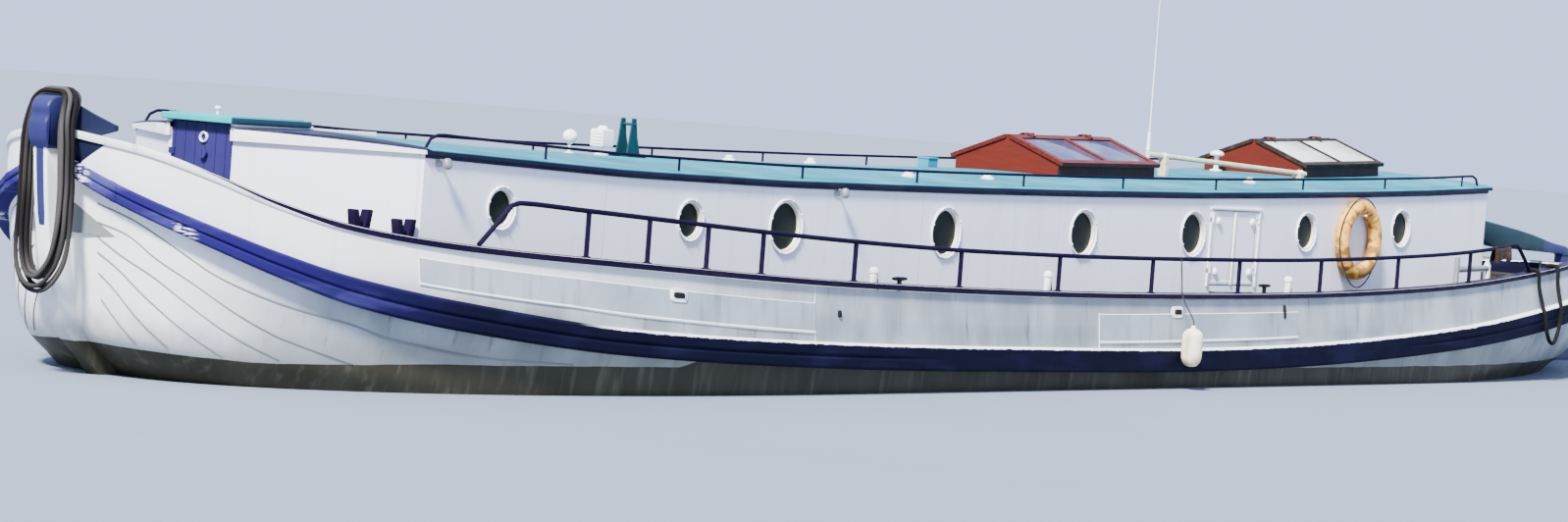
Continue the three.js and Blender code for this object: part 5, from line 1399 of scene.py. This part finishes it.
deck_end = [float(deck_at(x)) for x in (8.750, 9.230)]
bollard_parts = [*bollard(9.130, 1.222), *bollard(8.830, 1.345),
                 bar((8.750, 1.380, deck_end[0] + 0.004), (9.230, 1.180, deck_end[1] + 0.004), 0.058, 16)]
for side, turn in SIDES.items():
    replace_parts(piece(f"bollard_pair_{side}", [turn(p) for p in bollard_parts], RAIL, sharp=40), f"bollards_{side}")
    for name, x in (("fore", 3.725), ("aft", -1.756)):
        foot, y, top = float(deck_at(x)), 1.845, 1.612
        parts = [bar((x, y, foot - 0.01), (x, y, top), np.array([0.022, 0.018])),
                 bar((x - 0.088, y, top), (x + 0.088, y, top), np.array([0.011, 0.015, 0.015, 0.015, 0.011])),
                 box((x - 0.05, x + 0.05), (y - 0.045, y + 0.045), (foot - 0.01, foot + 0.014), 0.004)]
        post = piece(f"tee_post_{name}_{side}", [turn(p) for p in parts], CHARCOAL, sharp=40)
        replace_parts(post, f"mooring_post_{name}_{side}")
pipes, struts = [], []
for x in (4.000, 1.600, -2.240):
    foot = float(deck_at(x)) - 0.01
    pipes.append(lathed([(0.036, foot), (0.034, foot + 0.03), (0.030, foot + 0.05), (0.030, 1.645), (0.037, 1.650),
                         (0.037, 1.672), (0.026, 1.690), (0.001, 1.696)], (x, 1.800, 0), sides=18))
    struts.append(bar((x - 0.024, 1.800, 1.668), (x - 0.150, 1.800, foot + 0.004), 0.013))
piece("deck_pipes", both(pipes), TRIM_WHITE, sharp=40)
piece("pipe_struts", both(struts), RAIL, sharp=40)
print("deck pipes:", 2 * len(pipes))

# %% Roof gear
caps = [lathed([(0.058, -0.01), (0.058, 0.012), (0.045, 0.016), (0.030, 0.026), (0.034, 0.034), (0.026, 0.046),
                (0.001, 0.050)], roof_point(x, 0.900, 0)[0], sides=20) for x in (2.360, 1.230, -2.980)]
vent_foot = roof_point(-4.390, 0.300, -0.012)[0] * [1, -1, 1]
mushroom = [(0.060, 0.0), (0.060, 0.024), (0.026, 0.030), (0.022, 0.045), (0.022, 0.150), (0.060, 0.156),
            (0.068, 0.166), (0.066, 0.182), (0.045, 0.198), (0.015, 0.206), (0.001, 0.206)]
vent = piece("mushroom_vent", [lathed(mushroom, vent_foot, sides=28)], TRIM_WHITE, sharp=40)
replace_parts(vent, "roof_vent")
ball = [(0.040, 0.0), (0.040, 0.016), (0.012, 0.022), (0.012, 0.078), (0.030, 0.086), (0.052, 0.112), (0.058, 0.135),
        (0.052, 0.160), (0.030, 0.182), (0.001, 0.192)]
piece("roof_caps", [*both(caps), lathed(ball, roof_point(5.52, 0, -0.012)[0], sides=24)], TRIM_WHITE,
      sharp=40)
box_low = float(roof_top(-0.07, -0.60)) - 0.010
piece("roof_locker", [box((-0.140, 0.0), (-0.655, -0.545), (box_low, box_low + 0.084), 0.008),
                      box((-0.146, 0.006), (-0.661, -0.539), (box_low + 0.080, box_low + 0.096), 0.005)], TURQUOISE)
lamp_low = float(roof_top(5.14, 0))
lamp_crown = [(0.044, 0.190), (0.044, 0.204), (0.026, 0.222), (0.001, 0.226)]
lamp_parts = [lathed([(0.055, -0.02), (0.055, 0.010), (0.022, 0.020), (0.018, 0.060), (0.030, 0.066), (0.001, 0.066)],
                     (5.140, 0, lamp_low), sides=20),
              box((5.078, 5.202), (-0.062, 0.062), (lamp_low + 0.060, lamp_low + 0.198), 0.014),
              lathed(lamp_crown, (5.140, 0, lamp_low), sides=20)]
lamp_parts += [box((5.200, 5.206), (-0.048, 0.048), (lamp_low + z, lamp_low + z + 0.010), 0.002)
               for z in (0.085, 0.110, 0.135, 0.160)]
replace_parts(piece("mast_lamp", lamp_parts, TRIM_WHITE, sharp=35), "roof_lantern")
print("roof gear stands at", round(lamp_low, 2), "m")

# %% [markdown]
# ## Lamps and shutters
#
# Under the roof's edge hang two small lamps. The side door has two leaves, each with a thin raised border and
# round hinge bosses, and below it a bent bar stands off the wall. Rounded boxes and short turned forms are
# all that they need.

# %% Lamps and shutter trim
LAMP_SHADE = [(0.018, 0.030), (0.032, 0.018), (0.036, -0.012), (0.030, -0.034), (0.014, -0.046), (0.001, -0.048)]
HINGE_BOSS = [(0.034, 0.0), (0.034, 0.010), (0.024, 0.024), (0.001, 0.028)]
lamps = []
for x, z in ((8.540, 2.308), (3.950, 2.235)):
    lamps.append(box((x - 0.030, x + 0.030), (CABIN_HALF - 0.004, CABIN_HALF + 0.012), (z - 0.035, z + 0.035), 0.004))
    lamps.append(bar((x, CABIN_HALF + 0.008, z + 0.012), (x, CABIN_HALF + 0.075, z + 0.004), 0.010))
    lamps.append(lathed(LAMP_SHADE, (x, CABIN_HALF + 0.078, z - 0.004), (0, -0.25, 1), sides=20))
piece("wall_lamps", both(lamps), STEEL, sharp=40)
DOOR_FORE, DOOR_AFT, DOOR_LOW, DOOR_HIGH = -1.610, -2.390, 1.572, 2.226
FACE = CABIN_HALF - 0.002
frame_parts = []
for x in ((DOOR_FORE + 0.002, DOOR_FORE + 0.030), (DOOR_AFT - 0.030, DOOR_AFT - 0.002)):
    frame_parts.append(box(x, (FACE, FACE + 0.016), (DOOR_LOW - 0.01, DOOR_HIGH + 0.03), 0.005))
frame_parts.append(box((DOOR_AFT - 0.045, DOOR_FORE + 0.045), (FACE, FACE + 0.022),
                       (DOOR_HIGH + 0.004, DOOR_HIGH + 0.030), 0.006))
piece("door_frame", frame_parts, TRIM_WHITE, sharp=40)
MIDDLE = (DOOR_FORE + DOOR_AFT) / 2
for name, low, high, strap in (("shutter_fore", MIDDLE + 0.003, DOOR_FORE - 0.006, DOOR_FORE - 0.10),
                               ("shutter_aft", DOOR_AFT + 0.006, MIDDLE - 0.003, DOOR_AFT + 0.10)):
    out = CABIN_HALF + 0.002
    thin = (out - 0.002, out + 0.003)
    panel = [box((low + 0.004, low + 0.034), thin, (1.585, 2.213), 0.001),
             box((high - 0.034, high - 0.004), thin, (1.585, 2.213), 0.001)]
    panel += [box((low + 0.034, high - 0.034), thin, (z, z + 0.030), 0.001) for z in (1.585, 2.183)]
    if name == "shutter_fore":
        panel.append(box((low + 0.002, low + 0.020), (out, out + 0.014), (1.580, 2.218), 0.004))
    for z in (1.690, 2.130):
        panel.append(lathed(HINGE_BOSS, (strap, out, z), (0, 1, 0), 16))
    piece(f"{name}_panel", panel, TRIM_WHITE, body=name, sharp=40)

boot_bar = curve_through([(-1.655, CABIN_HALF - 0.01, 1.512), (-1.655, CABIN_HALF + 0.045, 1.512),
                          (-1.700, CABIN_HALF + 0.060, 1.512), (-2.260, CABIN_HALF + 0.060, 1.512),
                          (-2.305, CABIN_HALF + 0.045, 1.512), (-2.305, CABIN_HALF - 0.01, 1.512)], 40)
piece("boot_bar", [closed_tube(carried(boot_bar, ring_of(0.010, 8)))], CHARCOAL)
print("door trim is on")

# %% [markdown]
# ## Loose gear
#
# A faded lifebuoy hangs on its peg by the door and a fender hangs over the side. The buoy is a ring of hard
# foam in canvas, with a grab line seized on at four places. The after deck carries a chest of boards, a pipe
# on a stand and the long tiller.

# %% Lifebuoy
BUOY_X, BUOY_Z, BUOY_RING, BUOY_RADIUS = -4.111, 2.016, 0.300, 0.066
BUOY_Y = CABIN_HALF + BUOY_RADIUS + 0.0003


def buoy_grid(turns, around, radius):
    """A ring in the plane of the cabin side: its tube's radius may change from one turn to the next."""
    a, b = turns[:, None], around[None, :]
    reach = BUOY_RING + radius[:, None] * np.cos(b)
    return np.stack([BUOY_X + reach * np.cos(a), BUOY_Y + radius[:, None] * np.sin(b),
                     BUOY_Z + reach * np.sin(a)], -1)


turns = np.linspace(0, 2 * np.pi, 96, endpoint=False)
around = np.linspace(0, 2 * np.pi, 24, endpoint=False)
buoy_parts = [sheet(buoy_grid(turns, around, np.full(96, BUOY_RADIUS - 0.001)), closed=True, looped=True)]
for middle in math.pi / 4 + np.arange(4) * math.pi / 2:
    band = middle + np.linspace(-0.10, 0.10, 7)
    radius = BUOY_RADIUS + np.array([-0.003, 0.0008, 0.0015, 0.0015, 0.0015, 0.0008, -0.003])
    buoy_parts.append(closed_tube(buoy_grid(band, around, radius)))
line_turn = np.linspace(0, 2 * np.pi, 240, endpoint=False)
slack = np.abs(np.sin(2 * (line_turn - math.pi / 4)))
line_reach = BUOY_RING + BUOY_RADIUS + 0.004 + 0.012 * slack
line_path = np.stack([BUOY_X + line_reach * np.cos(line_turn), np.full(240, BUOY_Y + 0.020),
                      BUOY_Z + line_reach * np.sin(line_turn) - 0.050 * slack * (np.sin(line_turn) < -0.707)], -1)
closed_line = np.concatenate([line_path, line_path[:1]])
grab_line = sheet(carried(closed_line, ring_of(0.0065, 6))[:-1], closed=True, looped=True)
piece("grab_line", [grab_line], GREY_ROPE, sharp=60)


def buoy_finish(tree):
    """Orange canvas, faded in patches, with brown stains, and browner towards the bottom."""
    at = boat_point(tree)[0]
    warm = step(tree, noise(tree, at, 3.4, 4), 0.42, 0.62)
    colour = blend(tree, warm, (0.82, 0.42, 0.075), (0.64, 0.25, 0.026))
    low_down = step(tree, boat_point(tree)[3], 2.08, 1.72)
    stain = step(tree, maths(tree, "MULTIPLY_ADD", low_down, 0.12, noise(tree, at, 13.0, 5)), 0.50, 0.64)
    colour = blend(tree, maths(tree, "MULTIPLY", stain, 0.85), colour, (0.15, 0.08, 0.030))
    return colour, step(tree, stain, -2.0, 1.3), noise(tree, at, 60.0, 4), 0.002


BUOY_CANVAS = finish("buoy_canvas", buoy_finish)
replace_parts(piece("ring_buoy", buoy_parts, BUOY_CANVAS, sharp=60), "lifebuoy")
print("the buoy is", round(2 * (BUOY_RING + BUOY_RADIUS), 2), "m across")

# %% Fender and chest
FENDER_AT = (-0.150, 1.985 + 0.062 + 0.0863, 0.948)
fender_profile = curve_through([(0.001, 0.0), (0.030, 0.004), (0.056, 0.018), (0.080, 0.055), (0.086, 0.100),
                                (0.086, 0.170), (0.086, 0.240), (0.078, 0.278), (0.048, 0.308), (0.022, 0.318),
                                (0.020, 0.330), (0.018, 0.341), (0.001, 0.342)], 46)


def fender_finish(tree):
    """Cream plastic with brown stains about its lower half."""
    at, x, y, z = boat_point(tree)
    colour = worn(tree, (0.84, 0.76, 0.52), (0.74, 0.62, 0.36), (0.30, 0.20, 0.10), at, 0.8, 0.7)
    stain = maths(tree, "MULTIPLY", step(tree, z, 1.12, 0.98), step(tree, noise(tree, at, 14.0, 4), 0.40, 0.62))
    colour = blend(tree, maths(tree, "MULTIPLY", stain, 0.6), colour, (0.36, 0.22, 0.09))
    return colour, step(tree, noise(tree, at, 20.0), -0.6, 1.4), noise(tree, at, 45.0, 3), 0.001


FENDER_SKIN = finish("fender_skin", fender_finish)
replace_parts(piece("fender_body", [lathed(fender_profile, FENDER_AT, sides=32)], FENDER_SKIN, sharp=60), "fender")
chest = []
chest_low = float(deck_at(-9.7)) + 0.002
for low in (chest_low, chest_low + 0.076):
    chest += [box((-9.985, -9.415), (y - 0.010, y + 0.010), (low, low + 0.072), 0.003) for y in (-0.300, 0.300)]
    chest += [box((x - 0.010, x + 0.010), (-0.312, 0.312), (low, low + 0.072), 0.003) for x in (-9.410, -9.990)]
for y in -0.320 + 0.2135 * np.arange(3):        # the lid's boards, 2 mm apart
    chest.append(box((-10.0, -9.4), (y, y + 0.2115), (1.637, 1.664), 0.004))
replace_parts(piece("deck_chest", chest, BROWN_WOOD, sharp=40), "deck_box")
print("the chest has", len(chest), "boards")

# %% Tiller and after deck
TILLER_TOP = [(-11.270, 1.905), (-11.180, 1.960), (-10.960, 1.985), (-10.780, 2.008), (-10.270, 2.088),
              (-9.430, 2.183), (-8.870, 2.230)]
TILLER_UNDER = [(-8.870, 2.120), (-9.270, 1.985), (-9.520, 1.930), (-10.340, 1.905), (-11.060, 1.880)]
tiller_outline = np.concatenate([[(-11.270, 1.8603)], curve_through(TILLER_TOP, 40), curve_through(TILLER_UNDER, 30),
                                 [(-11.080, 1.8603)]])


def tiller_paint(tree):
    """Teal, with the end at the rudder in blue."""
    at, x = boat_point(tree)[:2]
    teal = worn(tree, (0.004, 0.021, 0.030), (0.009, 0.036, 0.046), (0.01, 0.02, 0.02), at, 0.7, 0.4)
    blue = worn(tree, (0.020, 0.022, 0.090), (0.034, 0.038, 0.130), (0.03, 0.03, 0.06), at, 0.7, 0.4)
    return blend(tree, step(tree, x, -10.60, -10.62), teal, blue), step(tree, noise(tree, at, 4), -0.3, 1.7), \
        noise(tree, at, 26.0, 4), 0.0006


TILLER_PAINT = finish("tiller_paint", tiller_paint)
tiller = slab(tiller_outline, -0.055, 0.055, 0.022, seen_from_side)
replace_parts(piece("tiller_arm", [tiller], TILLER_PAINT, body="rudder", sharp=30), "tiller")
print("the tiller is", round(float(np.ptp(np.array(tiller_outline)[:, 0])), 2), "m long")
pipe = [bar((-5.730, 1.600, 1.780), (-6.330, 1.600, 1.800), 0.030, 16),
        bar((-5.730, 1.600, float(deck_at(-5.73)) - 0.01), (-5.730, 1.600, 1.895), 0.026)]
piece("after_pipe", pipe, STEEL, sharp=40)
stand_low = float(deck_at(-6.34)) - 0.01
stand = [(1.575, stand_low), (1.625, stand_low), (1.625, 1.830), (1.600, 1.880), (1.575, 1.830)]
piece("after_stand", [slab(stand, -6.370, -6.315, 0.008, seen_from_front)], TRIM_WHITE, sharp=40)
rag_way = np.linspace(0, 1, 25)
rag_x = -6.030 + 0.340 * (rag_way - 0.5)
fold = 0.014 * np.sin(rag_way * 23.0)
hang = 0.105 + 0.018 * np.sin(rag_way * 9.0)
rag_foot = cap_point(rag_x, np.full(25, 0.0))
RAG_SECTION = [(-0.030, -0.9), (-0.026, -0.4), (-0.022, 0.05), (0.0, 0.30), (0.024, 0.05), (0.034, -0.5),
               (0.032, -1.0)]
rag_rings = []
for out, up in RAG_SECTION:
    rag_rings.append(rag_foot + np.stack([rag_x * 0, fold * abs(up) + out, 0.270 + hang * up], -1))
rag_inner = [ring - [0, 0.010 * (1 if k > 3 else -1), 0.012 * (k == 3)] for k, ring in enumerate(rag_rings)]
rag_rings += reversed(rag_inner)
piece("brown_rag", [closed_tube(np.array(rag_rings).transpose(1, 0, 2))], BROWN_WOOD, sharp=60)

# %% Scuppers and small fittings
# way round the side, height, half length and half height of each freeing hole; white plates stand round two
SCUPPERS = [(4.95, 1.467, 0.060, 0.022, 1), (6.80, 1.352, 0.018, 0.026, 0), (11.60, 1.386, 0.058, 0.022, 1),
            (13.37, 1.397, 0.018, 0.060, 0)]


def skin_patch(way, z, half_long, half_high, low, high, corner=4.0):
    """A rounded plate on the skin about a place: its outline is a superellipse, from out = low to out = high."""
    t0 = t_at_way(way)
    level0 = float(level_at(np.array([t0]), np.array([z]))[0])
    rise = float(np.linalg.norm(skin(np.array([t0]), np.array([level0 + 0.01])) -
                                skin(np.array([t0]), np.array([level0 - 0.01])))) / 0.02
    turn = np.linspace(0, 2 * np.pi, 28, endpoint=False)
    u = half_long * np.sign(np.cos(turn)) * np.abs(np.cos(turn)) ** (2 / corner)
    v = half_high * np.sign(np.sin(turn)) * np.abs(np.sin(turn)) ** (2 / corner)
    rings = []
    for share, out in ((1.0, low), (1.0, high - 0.002), (1 - 0.002 / max(half_long, half_high), high)):
        t = t_at_way(way + u * share)
        rings.append(skin_out(t, (level0 + v * share / rise)[:, None], np.full((len(t), 1), out))[:, 0])
    return closed_tube(np.array(rings))


# the freeing holes are not cut: a black patch on the skin is painted shade for each dark opening
HOLE_SHADE = paint("hole_shade_black", (0.008, 0.008, 0.009), (0.020, 0.019, 0.018), (0.03, 0.025, 0.02), gloss=0.7)
holes = [skin_patch(way, z, a, b, -0.004, 0.013 + 0.002 * plate) for way, z, a, b, plate in SCUPPERS]
plates = [skin_patch(way, z, a + 0.030, b + 0.026, -0.004, 0.013) for way, z, a, b, plate in SCUPPERS if plate]
piece("scuppers", both(holes), HOLE_SHADE, sharp=50)
piece("scupper_plates", both(plates), TRIM_WHITE, sharp=50)
print("scuppers on each side:", len(SCUPPERS))

# %% [markdown]
# ## Finishes for the solids that stay
#
# The cabin walls, doors, skylight coamings, stern frame, rudder and propeller keep their solids, whose flat
# faces are right as they are. They get the same worn finishes. Planks, plate edges and painted sides come
# from the boat's coordinates, so the lines run true across a whole wall.

# %% Finishes by node
def planked(name, colour, faded, dirt, width):
    """Paint on upright boards: a groove stands wherever the place across is a whole number of boards."""
    def build(tree):
        at, x, y, z = boat_point(tree)
        place = maths(tree, "FRACT", maths(tree, "DIVIDE", maths(tree, "ADD", y, 5.0), width))
        from_seam = maths(tree, "ABSOLUTE", maths(tree, "SUBTRACT", place, 0.5))
        groove = step(tree, from_seam, 0.455, 0.49)
        painted = worn(tree, colour, faded, dirt, at, 0.6, 0.5)
        painted = blend(tree, maths(tree, "MULTIPLY", groove, 0.7), painted, tuple(c * 0.3 for c in colour))
        return painted, step(tree, noise(tree, at, 6.0), -0.2, 1.8), maths(tree, "SUBTRACT", 1.0, groove), 0.004
    return finish(name, build)


def coaming_finish(tree):
    """Red-brown gables and ridge between dark brown sides."""
    at, x, y, z = boat_point(tree)
    grain = noise(tree, at, 30.0, 5, (1, 0.15, 1))
    red = blend(tree, grain, (0.120, 0.016, 0.008), (0.066, 0.009, 0.006))
    dark = worn(tree, (0.032, 0.011, 0.009), (0.045, 0.020, 0.016), (0.055, 0.046, 0.038), at, 0.7, 0.4)
    side = step(tree, maths(tree, "ABSOLUTE", y), 0.5285, 0.5292)
    return blend(tree, side, red, dark), maths(tree, "MULTIPLY_ADD", grain, 0.3, 0.4), grain, 0.0012


def wall_finish(tree):
    """White walls in sheets, with a faint seam every few metres and runs of dirt over them."""
    at, x, y, z = boat_point(tree)
    # the blue in this white is painted shade: the cool tint of walls that the sun only grazes
    colour = worn(tree, (0.78, 0.79, 0.86), (0.70, 0.71, 0.76), (0.46, 0.46, 0.48), at, 0.5, 0.28)
    sheets = maths(tree, "FRACT", maths(tree, "DIVIDE", maths(tree, "ADD", x, 11.0), 1.97))
    seam = step(tree, maths(tree, "ABSOLUTE", maths(tree, "SUBTRACT", sheets, 0.5)), 0.4965, 0.4990)
    colour = blend(tree, maths(tree, "MULTIPLY", seam, 0.35), colour, (0.40, 0.40, 0.42))
    height = maths(tree, "ADD", noise(tree, at, 1.1, 3), maths(tree, "MULTIPLY", seam, 0.4))
    return colour, step(tree, noise(tree, at, 2.1, 4), -0.6, 1.5), height, 0.004


SHADE_TINTED_WALL = finish("cabin_wall_shade_tinted", wall_finish)
COAMING_PAINT = finish("coaming_paint", coaming_finish)
PLANKS = planked("planked_blue", (0.022, 0.017, 0.095), (0.034, 0.028, 0.130), (0.03, 0.025, 0.07), 0.095)
LOOKS = {
    "cabin_side_port": SHADE_TINTED_WALL, "cabin_side_starboard": SHADE_TINTED_WALL, "cabin_front": SHADE_TINTED_WALL, "cabin_back": SHADE_TINTED_WALL,
    "shutter_fore": SHADE_TINTED_WALL, "shutter_aft": SHADE_TINTED_WALL, "front_door": PLANKS, "aft_door": PLANKS,
    "skylight_fore_frame": COAMING_PAINT, "skylight_aft_frame": COAMING_PAINT, "stern_frame": BOTTOM,
    "rudder": BLUE, "propeller": BRONZE, "tabernacle": TEAL, "aerial": TRIM_WHITE, "roof_pole": POLE_WOOD,
}
for name, look in LOOKS.items():
    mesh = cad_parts[name].data
    mesh.materials.clear()
    mesh.materials.append(look)
knob_ring = [(0.026, -0.004), (0.036, -0.002), (0.038, 0.010), (0.032, 0.018), (0.024, 0.012)]
door_ring = turned(knob_ring, (CABIN_FRONT + 0.004, 0.022, 2.352), (1, 0, 0), 24)
piece("door_ring", [door_ring], TRIM_WHITE, body="front_door")
pole_from, pole_to = np.array([-2.290, 0.250, 2.655]), np.array([-4.310, 0.705, 2.572])
lashing = [turned([(0.022, -0.006), (0.030, -0.005), (0.032, 0.0), (0.030, 0.005), (0.022, 0.006)],
                  pole_from + (pole_to - pole_from) * share, pole_to - pole_from, 16)
           for share in (0.955, 0.962, 0.969, 0.976, 0.09, 0.097)]
piece("pole_lashing", lashing, CREAM, sharp=60)
print("finishes:", len(bpy.data.materials))

# %% [markdown]
# ## Floor and light
#
# The boat lies afloat, so the plain floor stands at the waterline. A soft sun comes from ahead, low and a
# little to port, as in the photograph, and the world fills the shadows with a cool light.

# %% Floor, world and sun
WATERLINE = 0.75
FLOOR_REACH = 200
corners = FLOOR_REACH * np.array([(-1, -1), (1, -1), (1, 1), (-1, 1)])
floor_mesh = bpy.data.meshes.new("floor")
floor_mesh.from_pydata([(x, y, WATERLINE) for x, y in corners.tolist()], [], [(0, 1, 2, 3)])
floor = bpy.data.objects.new("floor", floor_mesh)
bpy.context.scene.collection.objects.link(floor)


def floor_finish(tree):
    at = boat_point(tree)[0]
    colour = blend(tree, noise(tree, at, 0.3, 3), (0.165, 0.195, 0.250), (0.185, 0.215, 0.270))
    return colour, step(tree, noise(tree, at, 3.0), -2.0, 2.0), noise(tree, at, 40.0), 0.0005


floor_mesh.materials.append(finish("floor", floor_finish))
world = bpy.data.worlds.new("world")
bpy.context.scene.world = world
world.use_nodes = True
background = world.node_tree.nodes["Background"]
background.inputs["Color"].default_value = (0.52, 0.64, 1.0, 1)
background.inputs["Strength"].default_value = 1.9
SUN_WAY = Vector((-0.64, -0.20, -0.74))
sun_data = bpy.data.lights.new("sun", "SUN")
sun_data.energy = 17.0
sun_data.color = (1.0, 0.985, 0.94)
sun_data.angle = math.radians(9)
sun = bpy.data.objects.new("sun", sun_data)
sun.rotation_euler = SUN_WAY.to_track_quat("-Z", "Y").to_euler()
bpy.context.scene.collection.objects.link(sun)
print("the sun stands", round(math.degrees(math.asin(-SUN_WAY.normalized().z))), "degrees high")
